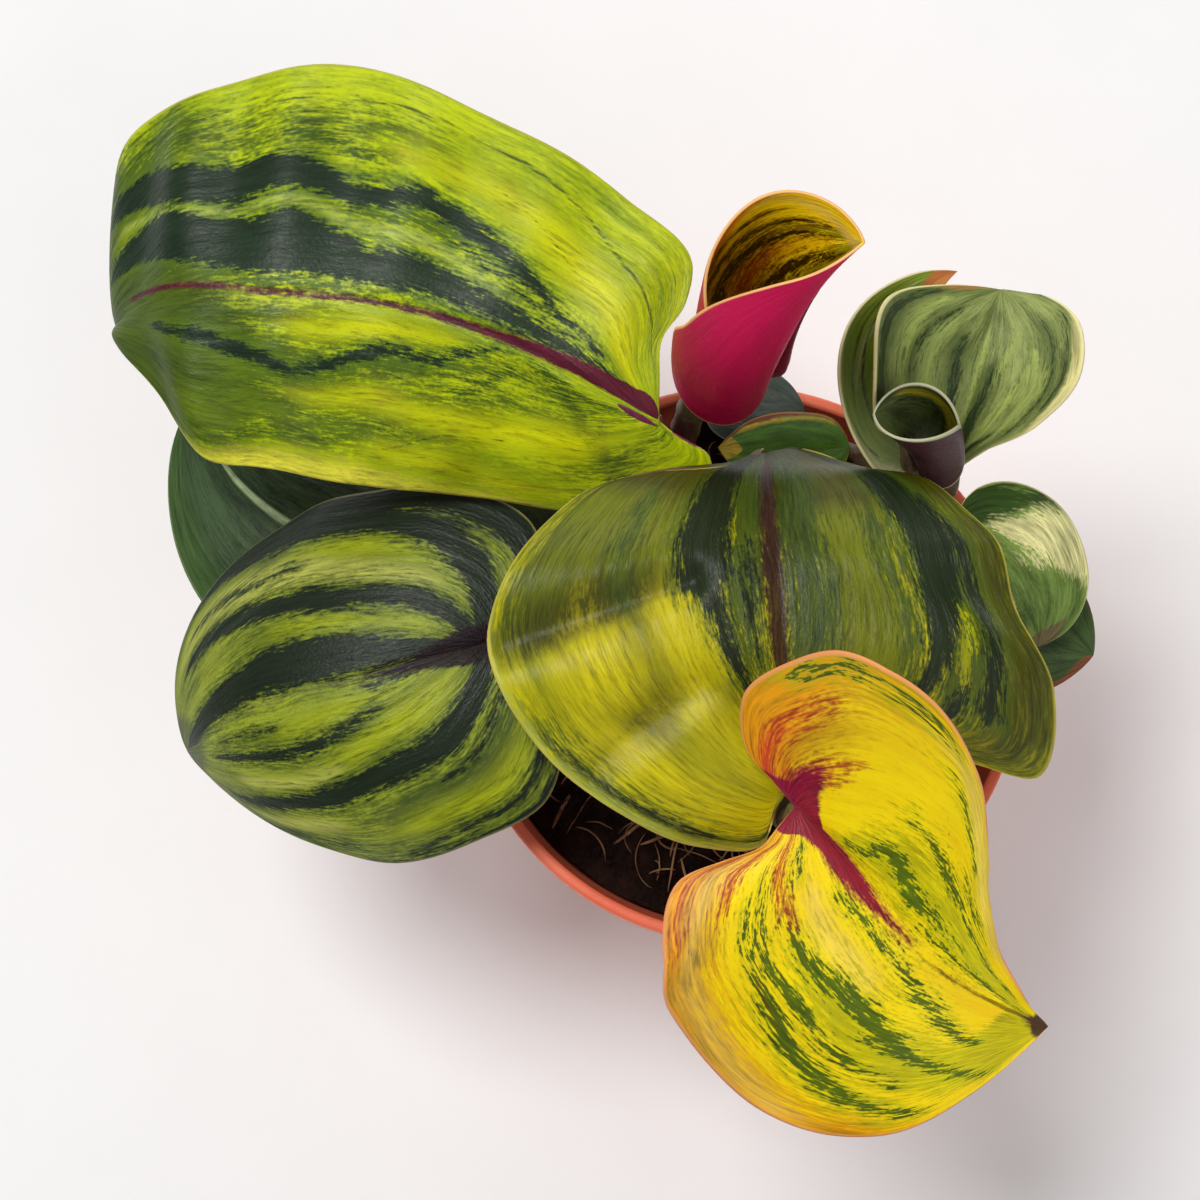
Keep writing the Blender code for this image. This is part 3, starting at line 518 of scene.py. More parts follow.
leafYellow = dict(
    base=(7.5, -37, 164), length=66,
    left=[(-6, 1.5), (-13, 3), (-20, 13), (-16, 27), (-8, 38), (6, 41), (16, 35), (26, 26), (41, 13), (56, 4)],
    right=[(0, 5), (0, 10), (-4, 17), (-8, 25), (-1, 38.5), (20, 47), (36, 48), (51, 36), (59, 19)],
    heading=[-40, -50, -43, -33, -26], pitch=[5, -5, -12, -18, -10],
    rise=([45, 35, 20, 5], [5, 0, 0]), curl=([10, 10, 0, 0], [-20, -40, -30]), ripple=(0.6, 5),
    stem="stemFront", joint=None, stalk=[(7.5, -38.8, 157)], grid=(120, 56), groove=0.6,
    marks=dict(
        orange=[[(0, 90, 35), (15, 85, 30), (25, 92, 20), (40, 97, 10), (50, 100, 5)],
            [(5, -90, 10), (15, -95, 20), (30, -95, 20), (50, -95, 12), (70, -98, 10)]],
        pale=[[(48, 85, 2), (55, 80, 15), (65, 75, 20), (78, 70, 20)], [(28, -27, 3), (40, -28, 6), (52, -28, 4)],
            [(15, -82, 3), (30, -86, 5), (45, -90, 4), (60, -95, 3)]],
        green=[[(18, 12, 2), (26, 17, 10), (36, 20, 16), (44, 18, 16), (50, 20, 12), (70, 20, 14), (86, 15, 14)],
            [(40, -42, 4), (55, -42, 12), (65, -50, 14), (80, -60, 20), (90, -40, 50)],
            [(45, -65, 2), (60, -72, 6), (70, -78, 5)]],
        line=[[(50, -4.5, 0.5), (60, -5, 0.8), (75, -5, 1), (92, -5, 3)],
            [(20, -38, 0.4), (30, -42, 0.8), (36, -50, 0.8), (42, -62, 0.8), (50, -66, 0.6)],
            [(46, 60, 0.5), (49, 40, 1), (55, 32, 0.6)]],
        dark=[[(20, 12, 0.8), (27, 16, 3), (33, 24, 4), (38, 20, 6), (44, 12, 5), (48, 12, 3)],
            [(40, 43, 0.6), (46, 38, 1.2), (50, 34, 2.4), (60, 33, 2.4), (70, 28, 1.4), (80, 24, 1.4), (88, 28, 1)],
            [(49, 75, 0.8), (52, 66, 1.4), (57, 62, 1.2), (62, 58, 0.6)],
            [(50, 13, 1), (57, 15, 1.2), (65, 14, 0.8)],
            [(50, 3, 0.6), (65, 5, 1.4), (75, 6, 1.6), (85, 5, 1.2), (92, 3, 2)],
            [(58, 45, 1), (66, 41, 2), (72, 42, 2)], [(12, -30, 1), (18, -33, 1.8), (24, -37, 1)],
            [(30, -14, 0.4), (42, -12, 1), (52, -11, 1.2), (60, -17, 1.6), (68, -22, 2.4), (76, -33, 2.8),
             (82, -40, 1.6)],
            [(32, -42, 1), (40, -40, 2.8), (50, -37, 4.8), (57, -36, 4.8), (63, -42, 4.5), (70, -48, 3.6),
             (77, -57, 3), (83, -70, 3), (88, -85, 3)],
            [(20, -50, 0.6), (30, -52, 1), (40, -55, 1), (50, -54, 1.2), (60, -58, 1.2), (70, -65, 0.8)],
            [(25, -58, 0.6), (40, -60, 1.4), (50, -66, 2.2), (58, -70, 3.6), (65, -76, 3.6), (72, -84, 2.4),
             (76, -88, 0.8)], [(28, 96, 0.6), (40, 93, 0.8), (48, 90, 0.6)]],
        pink=[[(6, -45, 5), (14, -46, 4.5), (24, -43, 2.5), (33, -40, 0.8)],
            [(8, -70, 6), (16, -72, 4), (26, -72, 1.5)], [(10, -90, 3), (20, -93, 2), (32, -95, 0.6)],
            [(10, 56, 12), (20, 54, 6), (26, 56, 3), (30, 57, 0)], [(8, 80, 8), (20, 79, 3.5), (32, 82, 0.8)]],
        purple=[[(-10, 10, 200), (3, 10, 130), (5.5, 20, 95), (8, 30, 62), (11, 36, 34), (14, 43, 16), (18, 50, 9),
             (24, 56, 1)],
            [(6, -8, 34), (10, -5, 20), (15, -4, 13), (22, -4.5, 9), (30, -4.5, 5.5), (40, -4, 2.6),
             (52, -4.5, 0.8)]],
        # shade: painted shade inside the curled lobe by the base
        shade=[[(0, 80, 40), (8, 78, 30), (15, 75, 16), (22, 72, 5), (30, 72, 0)]],
        tip=[[(90, -5, -10), (95, -5, 20), (100, 0, 150)]],
    ),
    look=dict(
        base=((250, 222, 0), (240, 200, 0)), seed=3, rim=(240, 160, 96), rimWidth=0.02, halo=(190, 186, 0),
        rough=0.4, bump=0.5, flecks=0.3, spray=0.13, orange=((238, 150, 0), 0.3, 0.2, 0.85),
        pale=((255, 226, 110), 0.2, 0.12, 0.6), dark=((84, 112, 10), 0.2, 0.02, 0.94),
        green=((206, 200, 0), 0.25, 0.1, 0.8), line=((120, 96, 0), 0.02, 0.012, 0.8),
        pink=((206, 44, 34), 0.25, 0.08, 0.85), purple=((152, 0, 54), 0.08, 0.04, 0.98),
        # shade is painted shade in the curl
        shade=((120, 30, 10), 0.1, 0.3, 0.8), tip=((66, 26, 34), 0.2, 0.2, 0.95),
        under=((225, 90, 120), (235, 150, 110)),
    ),
)

leafStriped = dict(
    base=(-52, 0, 134), length=82,
    left=[(-12, 8), (-8, 24), (-1, 35), (14, 40), (34, 43), (54, 34), (69, 21)],
    right=[(-14, 8), (-16, 20), (-8, 31), (16, 41), (37, 45.5), (57, 38.5), (73, 19)],
    heading=[199, 195, 193, 198, 210], pitch=[5, -5, -20, -45, -75],
    rise=([5, 0, 0], [5, 0, 0]), curl=([-40, -60, -60], [-35, -50, -60]),
    stem="stemFront", joint=101, stalk=[(-7, -22, 108), (-26, -10, 122), (-44, -1.5, 132)], grid=(110, 56),
    groove=0.6,
    marks=dict(
        soft=[[(16, 66, 3), (25, 68, 8), (40, 68, 8), (50, 70, 4)], [(45, 88, 3), (60, 88, 6), (72, 92, 5)],
            # the stripe on the next line is painted sheen: a greyer green over the end that bends down
            [(86, 0, 10), (93, 0, 60), (100, 0, 200)]],
        bright=[[(18, 26, 5), (28, 27, 10), (40, 32, 6), (50, 38, 4)], [(25, 82, 5), (35, 82, 9), (45, 80, 5)],
            [(22, 10, 3), (35, 13, 5), (50, 15, 4), (60, 17, 2)], [(22, -29, 3), (40, -32, 5), (55, -30, 5)],
            [(30, -68, 3), (42, -70, 5), (55, -70, 3)]],
        pale=[[(24, -52, 3), (32, -54, 5), (45, -57, 7), (58, -60, 9), (70, -68, 9), (82, -78, 8)],
            [(50, 40, 3), (62, 43, 4), (76, 46, 5)], [(60, 70, 4), (70, 78, 6), (80, 85, 5)],
            [(34, -2, 0.8), (45, -2, 1.2), (60, -2, 1.2), (72, -1, 0.8)]],
        dark=[[(6, 35, 10), (14, 45, 8), (22, 49, 7.5), (35, 49, 7.5), (45, 50, 6), (56, 52, 5.5), (65, 57, 5),
             (75, 64, 5), (84, 74, 4)],
            [(34, 19, 1), (42, 22, 2.5), (50, 25, 3.2), (62, 26.5, 3.2), (74, 27, 3.4), (82, 26, 2)],
            [(5, -10, 20), (13, -12, 9), (20, -12, 7), (30, -13, 8), (40, -15, 10), (50, -15, 11), (60, -14, 10),
             (72, -12, 9), (82, -10, 8), (92, -5, 10)],
            [(8, -30, 10), (15, -38, 6), (25, -42, 5), (40, -43, 5.5), (52, -44, 6), (62, -46, 5.5), (72, -52, 5),
             (82, -60, 5)],
            [(8, -45, 10), (14, -58, 10), (20, -68, 9), (28, -76, 8), (38, -83, 7), (50, -86, 9), (60, -88, 12),
             (70, -95, 12), (80, -105, 10)], [(15, -95, 10), (25, -98, 14), (40, -100, 12), (60, -105, 14)],
            [(15, 87, 3), (20, 88, 3), (28, 90, 2), (40, 92, 1.6), (50, 94, 1.2)],
            [(25, 99, 2.5), (40, 100, 2.5), (60, 100, 2)], [(8, 60, 5), (15, 61, 3), (25, 63, 1.4), (35, 65, 1)],
            [(55, -62, 0.8), (63, -63, 1.4), (72, -70, 1.4), (80, -78, 1)],
            [(60, 12, 0.6), (70, 13, 1), (78, 13, 0.6)], [(60, 86, 0.8), (70, 90, 1.4), (80, 97, 2)],
            [(20, 3, 3), (27, 5, 2), (33, 6, 1)]],
        # purple: the purple base, darkened near black as painted shadow under leaf_wide_middle
        purple=[[(-10, 0, 200), (4, 0, 100), (8, 0, 55), (12, 0, 36), (16, 0, 16), (20, 1, 8), (27, 0.5, 3.5),
             (35, -0.5, 1.8), (42, -1, 0.6)]],
    ),
    look=dict(
        base=((148, 160, 42), (66, 84, 14)), seed=4, halo=(70, 88, 24), rim=(150, 150, 85), rimWidth=0.012,
        rough=0.42, bump=0.9, pale=((186, 190, 84), 0.12, 0.06, 0.9), bright=((176, 188, 6), 0.25, 0.12, 0.85),
        # soft is the leaf's own mid green, and painted sheen at the far end
        dark=((22, 36, 22), 0.11, 0.03, 0.97), soft=((80, 98, 44), 0.3, 0.2, 0.8),
        # purple is near black: the base's purple with painted shadow in it
        purple=((26, 2, 14), 0.08, 0.06, 0.97), under=((110, 40, 60), (90, 80, 60)),
    ),
)

leafDarkLeft = dict(
    base=(-46, 14, 113), length=92,
    left=[(-6, 8), (2, 20), (22, 27), (50, 29.5), (74, 17)],
    right=[(-10, 8), (-6, 20), (18, 27), (50, 26), (74, 14)],
    heading=[170, 165, 152, 133, 122], pitch=[1, -4, -12, -18, -26],
    rise=([5, 0, 0], [5, 0, 0]), curl=([-20, -30, -30], [-20, -30, -30]),
    stem="stemBack", joint=99, stalk=[(-22, 29, 106), (-36, 18, 112)], grid=(80, 36),
    marks=dict(
        pale=[[(0, 0, 2), (50, 4, 2.2), (60, 5, 2.8), (75, 6, 2.8), (90, 3, 2), (100, 0, 2)]],
        green=[[(0, 100, 20), (60, 95, 20), (80, 85, 20), (100, 80, 20)], [(40, -90, 15), (80, -90, 20)]],
    ),
    look=dict(
        base=((66, 88, 54), (28, 42, 26)), seed=5, rim=(110, 130, 80), rimWidth=0.03, rough=0.36,
        green=((76, 108, 50), 0.3, 0.3, 0.8), pale=((180, 202, 150), 0.01, 0.02, 0.95),
        under=((110, 30, 60), (80, 60, 50)),
    ),
)

leafRolledRed = dict(
    base=(4, 52.5, 149), length=68,
    left=[(-2, 14), (5, 26), (20, 38), (39, 36), (54, 27), (63, 12)],
    right=[(-4, 14), (2, 27), (14, 35), (21, 35), (32, 31), (45, 24), (56, 14), (63, 5)],
    heading=[40, 35, 28, 22], pitch=[88, 82, 73, 60], roll=[-35, -35, -30, -25],
    rise=([0], [0, 0, 40]), curl=([300, 235, 168], [210, 190, 220]),
    stem="stemBack", joint=None, stalk=[(-6, 50.5, 146.5), (-1, 52.3, 147.6)], grid=(90, 70),
    marks=dict(
        dark=[[(0, 22, 5), (40, 22, 3.5), (70, 20, 3), (90, 10, 2)],
            [(20, 50, 3), (50, 48, 3), (70, 42, 2), (85, 35, 1)],
            [(30, 62, 2), (55, 60, 2.5), (70, 56, 2), (85, 50, 2)], [(40, 76, 1.2), (60, 74, 1.4), (75, 70, 1)],
            [(10, -10, 4), (50, -12, 3), (80, -8, 2)], [(20, -35, 3), (50, -40, 3), (80, -35, 2)],
            [(30, -65, 2), (60, -70, 2), (80, -60, 1)]],
        green=[[(10, 5, 10), (50, 10, 10), (80, 10, 12), (95, 0, 30)], [(50, 45, 3), (70, 45, 6), (90, 40, 10)]],
        orange=[[(30, 70, 10), (50, 80, 16), (65, 95, 20), (75, 100, 10)], [(30, 36, 3), (50, 36, 4), (65, 36, 2)],
            [(30, -80, 10), (60, -90, 20)]],
        cream=[[(80, 90, 4), (88, 70, 10), (95, 30, 20), (100, 0, 50)]],
    ),
    look=dict(
        base=((255, 220, 10), (220, 160, 0)), seed=6, rim=(250, 190, 120), rimWidth=0.025, halo=(130, 90, 0),
        rough=0.4, dark=((50, 32, 0), 0.12, 0.03, 0.92), green=((110, 126, 4), 0.3, 0.1, 0.8),
        orange=((236, 96, 20), 0.25, 0.1, 0.85), cream=((236, 196, 90), 0.25, 0.2, 0.8),
        under=((176, 0, 62), (224, 0, 88)), pearls=0.5,
    ),
)

leafCupped = dict(
    base=(43, 35, 131), length=41,
    left=[(6, 6), (14, 22.5), (25, 30), (37, 13)],
    right=[(8, 6), (18, 16.5), (28, 22), (37, 18), (41, 10)],
    heading=[91, 78, 73, 73], pitch=[48, 42, 25, 8, -5],
    rise=([0, 20, 10], [30, 20, 20]), curl=([60, 50, 20], [30, 20, 10]),
    stem="stemRight", joint=110, stalk=[(40.5, 32, 117), (42.5, 33, 125)], grid=(80, 44),
    marks=dict(
        pale=[[(45, 66, 3), (55, 62, 6), (70, 68, 6), (80, 75, 4)],
            [(20, -40, 6), (30, -36, 8), (42, -40, 5), (60, -50, 4)], [(50, -18, 2), (60, -22, 4), (75, -40, 3)],
            [(30, -72, 3), (45, -66, 4), (60, -68, 3)], [(30, 35, 3), (50, 40, 4), (75, 40, 2)],
            [(20, -62, 3), (45, -60, 3), (65, -55, 2)], [(30, -2, 1.2), (60, -2, 2), (75, -1, 1)]],
        dark=[[(30, 93, 4), (50, 90, 5), (65, 88, 4), (80, 90, 2)], [(30, 15, 4), (50, 16, 3), (70, 20, 2)],
            [(20, -12, 10), (40, -14, 5), (60, -15, 2)],
            [(30, -74, 1), (45, -75, 1.6), (60, -72, 1.4), (75, -70, 1)],
            [(10, -30, 10), (20, -45, 6), (27, -55, 2)], [(45, -83, 0.8), (60, -84, 1.2), (75, -90, 1)],
            [(50, 55, 1), (65, 52, 2), (80, 50, 1)]],
        cream=[[(10, -95, 3), (35, -100, 8), (50, -100, 12), (65, -100, 10), (75, -100, 2)]],
        tip=[[(78, 100, -2), (85, 98, 10), (90, 95, 12)]],
    ),
    look=dict(
        base=((92, 106, 52), (162, 174, 100)), seed=7, halo=(84, 100, 50), rim=(232, 222, 160), rimWidth=0.03,
        rough=0.45, pale=((184, 204, 104), 0.2, 0.07, 0.85), dark=((48, 64, 34), 0.18, 0.05, 0.92),
        cream=((240, 232, 156), 0.12, 0.05, 0.95), tip=((206, 120, 66), 0.2, 0.1, 0.7),
        under=((58, 30, 40), (84, 60, 60)), pearls=0.1,
    ),
)

leafRolledGreen = dict(
    base=(35, 35, 139), length=27,
    left=[(0, 8), (6, 16), (15, 18.5), (23, 10)],
    right=[(0, 8), (6, 16), (15, 18.5), (23, 10)],
    heading=[155, 154, 155], pitch=[80, 65, 35], roll=[20, 32, 32],
    rise=([0], [0]), curl=([240, 190, 140], [240, 190, 140]),
    stem="stemRight", joint=None, stalk=[(35.3, 34.7, 135)], grid=(60, 54),
    marks=dict(
        gold=[[(10, -75, 10), (50, -72, 10), (80, -80, 8)], [(20, 80, 6), (60, 80, 5)]],
        dark=[[(0, 0, 50), (30, 0, 20), (60, 5, 10)], [(20, -60, 3), (80, -60, 3)], [(20, -88, 2), (80, -90, 2)]],
    ),
    look=dict(
        base=((84, 96, 50), (50, 58, 30)), seed=8, rim=(186, 186, 150), rimWidth=0.05, rough=0.45,
        gold=((170, 156, 20), 0.2, 0.06, 0.9), dark=((26, 30, 10), 0.25, 0.08, 0.85),
        under=((58, 28, 34), (84, 50, 56)), pearls=0.1,
    ),
)

leafCream = dict(
    base=(43, 24, 128), length=34,
    left=[(-1, 6), (5, 17), (13, 21), (23, 17), (31, 8)],
    right=[(-1, 6), (4, 14), (13, 16), (23, 12), (30, 6)],
    heading=[-30, -45, -60, -80], pitch=[0, -10, -30, -60],
    rise=([0], [0]), curl=([-30, -40, -30], [-20]),
    stem="stemRight", joint=100, stalk=[(38, 24.4, 108), (40.5, 24.4, 120)], grid=(70, 40),
    marks=dict(
        dark=[[(0, 60, 50), (20, 70, 30), (33, 80, 15), (42, 95, 5)]],
        cream=[[(22, 40, 0), (32, 45, 12), (42, 55, 28), (52, 70, 36), (60, 85, 30), (68, 100, 16), (74, 100, 0)],
            [(30, -40, 20), (60, -50, 30)]],
        tip=[[(80, 80, -5), (84, 60, 16), (90, 30, 50), (100, 0, 200)]],
    ),
    look=dict(
        base=((124, 150, 70), (66, 92, 30)), seed=9, rim=(220, 206, 150), rimWidth=0.02, rough=0.42,
        dark=((48, 78, 22), 0.4, 0.1, 0.9), cream=((250, 244, 170), 0.6, 0.12, 0.95),
        tip=((120, 100, 66), 0.3, 0.15, 0.85), under=((90, 50, 60), (120, 110, 80)),
    ),
)

leafDarkRight = dict(
    base=(40, 13, 112), length=37,
    left=[(0, 7), (5, 15), (14, 19), (26, 15), (34, 7)],
    right=[(-4, 8), (2, 16), (14, 19), (26, 15), (34, 7)],
    heading=[-15, -18, -22, -25], pitch=[5, 0, -10, -20],
    rise=([0], [0]), curl=([-20, -30, -30], [-20]),
    stem="stemRight", joint=98.5, stalk=[(34.5, 16, 104), (37, 14, 110)], grid=(60, 34),
    marks=dict(
        tip=[[(60, -100, 5), (85, -100, 14), (100, -60, 50)]],
    ),
    look=dict(
        base=((76, 100, 52), (48, 66, 34)), seed=10, rim=(150, 90, 60), rimWidth=0.025, rough=0.42,
        tip=((150, 84, 52), 0.2, 0.06, 0.9), under=((80, 40, 50), (70, 60, 50)),
    ),
)

leafSmallFolded = dict(
    base=(23, 44, 115), length=28,
    left=[(2, 4), (12, 7), (21, 6)],
    right=[(2, 6), (12, 9), (21, 7)],
    heading=[188, 180, 172], pitch=[5, 0, -5],
    rise=([0], [0]), curl=([-20], [-20]),
    stem="stemRight", joint=102, stalk=[(28, 36, 108), (25.5, 42, 113)], grid=(50, 26),
    marks=dict(
        gold=[[(80, 0, -10), (88, 0, 60), (100, 0, 200)], [(20, -90, 4), (50, -80, 5), (80, -80, 10)]],
        tip=[[(10, -100, 3), (50, -100, 10), (65, -100, 22), (80, -100, 12), (95, -100, 20)]],
    ),
    look=dict(
        base=((58, 92, 30), (86, 128, 34)), seed=11, rim=(150, 100, 50), rimWidth=0.05, rough=0.45,
        gold=((206, 176, 50), 0.1, 0.1, 0.85), tip=((120, 66, 40), 0.2, 0.08, 0.95),
        under=((90, 50, 50), (100, 80, 50)),
    ),
)

leafSmallDark = dict(
    base=(-8, 55, 110), length=22,
    left=[(2, 6), (10, 9), (17, 6)],
    right=[(2, 6), (10, 9), (17, 6)],
    heading=[0, -5, -10], pitch=[10, 5, 0],
    rise=([0], [0]), curl=([-20], [-20]),
    stem="stemBack", joint=101, stalk=[(-12.4, 47.5, 104), (-11, 54, 108)], grid=(40, 26),
    marks=dict(),
    look=dict(
        base=((64, 74, 66), (46, 60, 48)), seed=12, rim=(120, 130, 110), rimWidth=0.04, rough=0.4,
        under=((80, 50, 50), (70, 60, 50)),
    ),
)

leafCuppedBack = dict(
    base=(37, 39, 126), length=51,
    left=[(4, 6), (14, 18), (28, 15), (42, 5)],
    right=[(2, 6), (15, 9), (31, 8), (44, 3)],
    heading=[145, 112, 65, 20], pitch=[50, 42, 22, -8],
    rise=([20], [0]), curl=([60], [0]),
    stem="stemRight", joint=112, stalk=[(34.8, 36.8, 117)], grid=(80, 34),
    marks=dict(
        dark=[[(30, 10, 3), (50, 10, 5), (70, 12, 3)], [(35, 35, 1.5), (55, 40, 2), (75, 50, 1.5)],
            [(45, 60, 1.2), (60, 60, 1.6), (80, 70, 1)], [(30, 70, 1.2), (42, 80, 2)]],
        pale=[[(20, 100, 25), (35, 95, 20), (45, 100, 12), (60, 100, 6)], [(50, 50, 2), (70, 40, 3), (85, 50, 3)]],
        tip=[[(84, 20, -10), (90, 20, 40), (100, 0, 200)]],
    ),
    look=dict(
        base=((110, 134, 30), (146, 164, 60)), seed=13, rim=(214, 206, 150), rimWidth=0.05, rough=0.45,
        dark=((46, 58, 30), 0.1, 0.04, 0.92), pale=((206, 202, 140), 0.12, 0.1, 0.9),
        tip=((212, 126, 66), 0.15, 0.15, 0.95), under=((196, 190, 140), (150, 160, 100)), pearls=0.0,
    ),
)

leaves = dict(
    leaf_wide_upper=leafWideUpper, leaf_wide_middle=leafWideMiddle, leaf_yellow=leafYellow,
    leaf_striped=leafStriped, leaf_dark_left=leafDarkLeft, leaf_rolled_red=leafRolledRed,
    leaf_cupped=leafCupped, leaf_rolled_green=leafRolledGreen, leaf_cream=leafCream,
    leaf_dark_right=leafDarkRight, leaf_small_folded=leafSmallFolded, leaf_small_dark=leafSmallDark,
    leaf_cupped_back=leafCuppedBack,
)

stems = dict(
    stemBack=[(-12, 36, 97), (-13, 43, 115), (-10, 49.5, 143)],
    stemFront=[(6, -26, 97), (7, -32, 115), (7.5, -38, 150)],
    stemRight=[(29, 22, 97), (32, 28, 110), (34.7, 33, 127)],
)
stemSizes = dict(radius=3.2, seatGap=0.4, seatLength=2.2, foot=60)
leafSizes = dict(thickness=0.55, weld=0.02, stalkRadius=1.9, stalkFoot=1.5, stalkSides=20, stalkRings=40,
                 keelReach=0.7, keelRings=30, keelShare=0.85, keelTip=0.25)


def stalkSeat(leaf):
    # the first two points of a stalk, close against its stem
    axis = smoothPath(stems[leaf["stem"]], 60)
    gap, run = stemSizes["seatGap"], stemSizes["seatLength"]
    if leaf["joint"] is None:
        ahead = axis[-1] - axis[-2]
        ahead /= np.linalg.norm(ahead)
        return [axis[-1] + ahead * gap, axis[-1] + ahead * run]
    k = np.searchsorted(axis[:, 2], leaf["joint"])
    ahead = axis[k] - axis[k - 1]
    ahead /= np.linalg.norm(ahead)
    out = np.array(leaf["stalk"][0], float) - axis[k]
    out -= ahead * np.dot(out, ahead)
    out /= np.linalg.norm(out)
    edge = stemSizes["radius"] + gap
    return [axis[k] + out * edge, axis[k] + out * (edge + run)]


def buildBlade(name, leaf, stalkMaterial):
    rows, half = leaf["grid"]
    u, v = np.meshgrid(np.linspace(0, 1, rows + 1), np.linspace(-1, 1, 2 * half + 1), indexing="ij")
    points = bladePoints(leaf, u, v).reshape(-1, 3)
    wide = 2 * half + 1
    corner = np.arange(rows)[:, None] * wide + np.arange(2 * half)
    faces = np.stack([corner, corner + wide, corner + wide + 1, corner + 1], -1).reshape(-1, 4).tolist()
    materials = [topFinish(name, leaf), underFinish(name, leaf), stalkMaterial]
    blade = newObject(name + "_blade", points, faces, materials)
    mesh = blade.data
    places = mesh.uv_layers.new(name="leafPlace")
    flat = np.stack([u.ravel(), v.ravel()], -1)
    corners = np.empty(len(mesh.loops), int)
    mesh.loops.foreach_get("vertex_index", corners)
    places.data.foreach_set("uv", flat[corners].ravel())
    for kind, lines in leaf["marks"].items():
        layer = mesh.attributes.new(kind, "FLOAT", "POINT")
        layer.data.foreach_set("value", stripeField(lines, u, v).ravel())
    shape = bmesh.new()
    shape.from_mesh(mesh)
    bmesh.ops.remove_doubles(shape, verts=shape.verts, dist=leafSizes["weld"] * mm)
    shape.to_mesh(mesh)
    shape.free()
    solid = blade.modifiers.new("thickness", "SOLIDIFY")
    solid.thickness = leafSizes["thickness"] * mm
    solid.offset = 0
    solid.material_offset = 1
    solid.use_even_offset = False
    return blade


def buildLeaf(name, leaf, stalkMaterial):
    blade = buildBlade(name, leaf, stalkMaterial)

    # the stalk, and the rib that stands proud under the blade
    s = leafSizes
    full = s["stalkRadius"]
    rib, _, above = ribFrame(leaf, np.linspace(0, s["keelReach"] * leaf["length"], s["keelRings"]))
    share = np.linspace(0, 1, s["keelRings"])[:, None]
    keelRadius = full * s["keelShare"] * (1 - share) + s["keelTip"]
    keel = rib - above * (keelRadius + leaf.get("groove", 0.5) * np.clip(share * 6, 0, 1))
    seat, out = stalkSeat(leaf)
    stalk = smoothPath([out] + leaf["stalk"] + [keel[0]], s["stalkRings"])
    path = np.concatenate([[seat], stalk, keel[1:]])
    swell = blend([s["stalkFoot"], full, full, full * s["keelShare"]], np.linspace(0, 1, s["stalkRings"]))
    radii = np.concatenate([[s["stalkFoot"]], swell, keelRadius[1:, 0]])
    tubePoints, tubeFaces = tubeMesh(path, radii, s["stalkSides"])
    tube = newObject(name + "_stalk", tubePoints, tubeFaces, [stalkMaterial])
    tube.parent = blade
    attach(blade, "root")
    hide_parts(name)


stalkMaterials = dict(
    leaf_wide_upper=stalkFinish("stalk_magenta", (96, 14, 60), (120, 60, 70)),
    leaf_rolled_red=stalkFinish("stalk_red", (110, 16, 44), (150, 40, 70)),
)
stalkPlain = stalkFinish("stalk_wine", (74, 34, 44), (110, 100, 60))

for name, leaf in leaves.items():
    buildLeaf(name, leaf, stalkMaterials.get(name, stalkPlain))
print("leaves built:", len(leaves))


# Stems: buried in the soil, with a low ring every few millimetres.

stemLook = dict(low=(70, 30, 36), high=(96, 92, 48), sides=40, rings=70, nodeEvery=9, nodeRise=0.35,
                nodeBroad=0.5, clearance=0.25, buriedRings=12)


def buildStem(name, key):
    x, y, collar = stems[key][0]
    rising = smoothPath(stems[key], stemLook["rings"])
    depths = np.linspace(stemSizes["foot"], collar - 1, stemLook["buriedRings"])
    path = np.concatenate([np.array([(x, y, z) for z in depths]), rising])
    run = np.concatenate([[0], np.cumsum(np.linalg.norm(np.diff(path, axis=0), axis=1))])
    every = stemLook["nodeEvery"]
    ring = np.exp(-((run % every - every / 2) / stemLook["nodeBroad"]) ** 2)
    radii = stemSizes["radius"] - stemLook["clearance"] + stemLook["nodeRise"] * ring
    points, faces = tubeMesh(path, radii, stemLook["sides"])
    piece = newObject(name, points, faces, [stalkFinish(name + "_skin", stemLook["low"], stemLook["high"])])
    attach(piece, "root")
    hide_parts(name)


for name, key in (("stem_back", "stemBack"), ("stem_front", "stemFront"), ("stem_right", "stemRight")):
    buildStem(name, key)
print("stems built")


# Pot: half a section turned round the middle, then six drain holes cut.

potSizes = dict(height=105, rim=60, rimInner=57.4, rimDepth=11, wallTop=57, foot=43.6, wall=1.2, floor=1.6,
                corner=1.5, cornerRise=0.6, round=0.9, rimRound=0.5, footRound=0.8, footRing=5, hub=20, lift=0.5,
                steps=192, drains=6, drainRadius=4, drainCircle=27, drainDepth=8, drainSides=40, sharp=50)
potLook = dict(colour=(238, 112, 78), warm=(246, 136, 104), shade=(206, 84, 54), rub=(255, 178, 150),
               dirt=(70, 44, 34))


def potFinish():
    sheet = Sheet("pot_plastic", Roughness=0.42, Specular_IOR_Level=0.35)
    place = sheet.object()
    broad = sheet.grain(place, 30, 3)
    grit = sheet.grain(place, 900, 3, 0.6)
    scratch = sheet.grain(sheet.object(18.0), 140, 4, 0.6)
    rub = sheet.grain(sheet.object(0.25), 260, 3, 0.6)
    colour = paint(*potLook["colour"])
    for kind, share in (
        ("warm", (broad * 3 + 0.5).clamp() * 0.6),
        ("shade", (scratch * 2.2 - 0.25).clamp() * 0.45),
        ("rub", (rub * 3 - 0.85).clamp() * 0.6),
        ("dirt", (grit * 6 - 1.55).clamp() * 0.85),
    ):
        colour = sheet.mix(colour, paint(*potLook[kind]), share)
    return sheet.plug(
        Base_Color=colour,
        Roughness=(0.42 + broad * 0.2 + scratch * 0.15).clamp(),
        Normal=sheet.bump(grit * 0.4 + scratch * 0.5, 0.0002, 0.5),
    )


def arc(centreR, centreZ, radius, start, end, count=6):
    return [(centreR + radius * math.cos(math.radians(a)), centreZ + radius * math.sin(math.radians(a)))
            for a in np.linspace(start, end, count)]


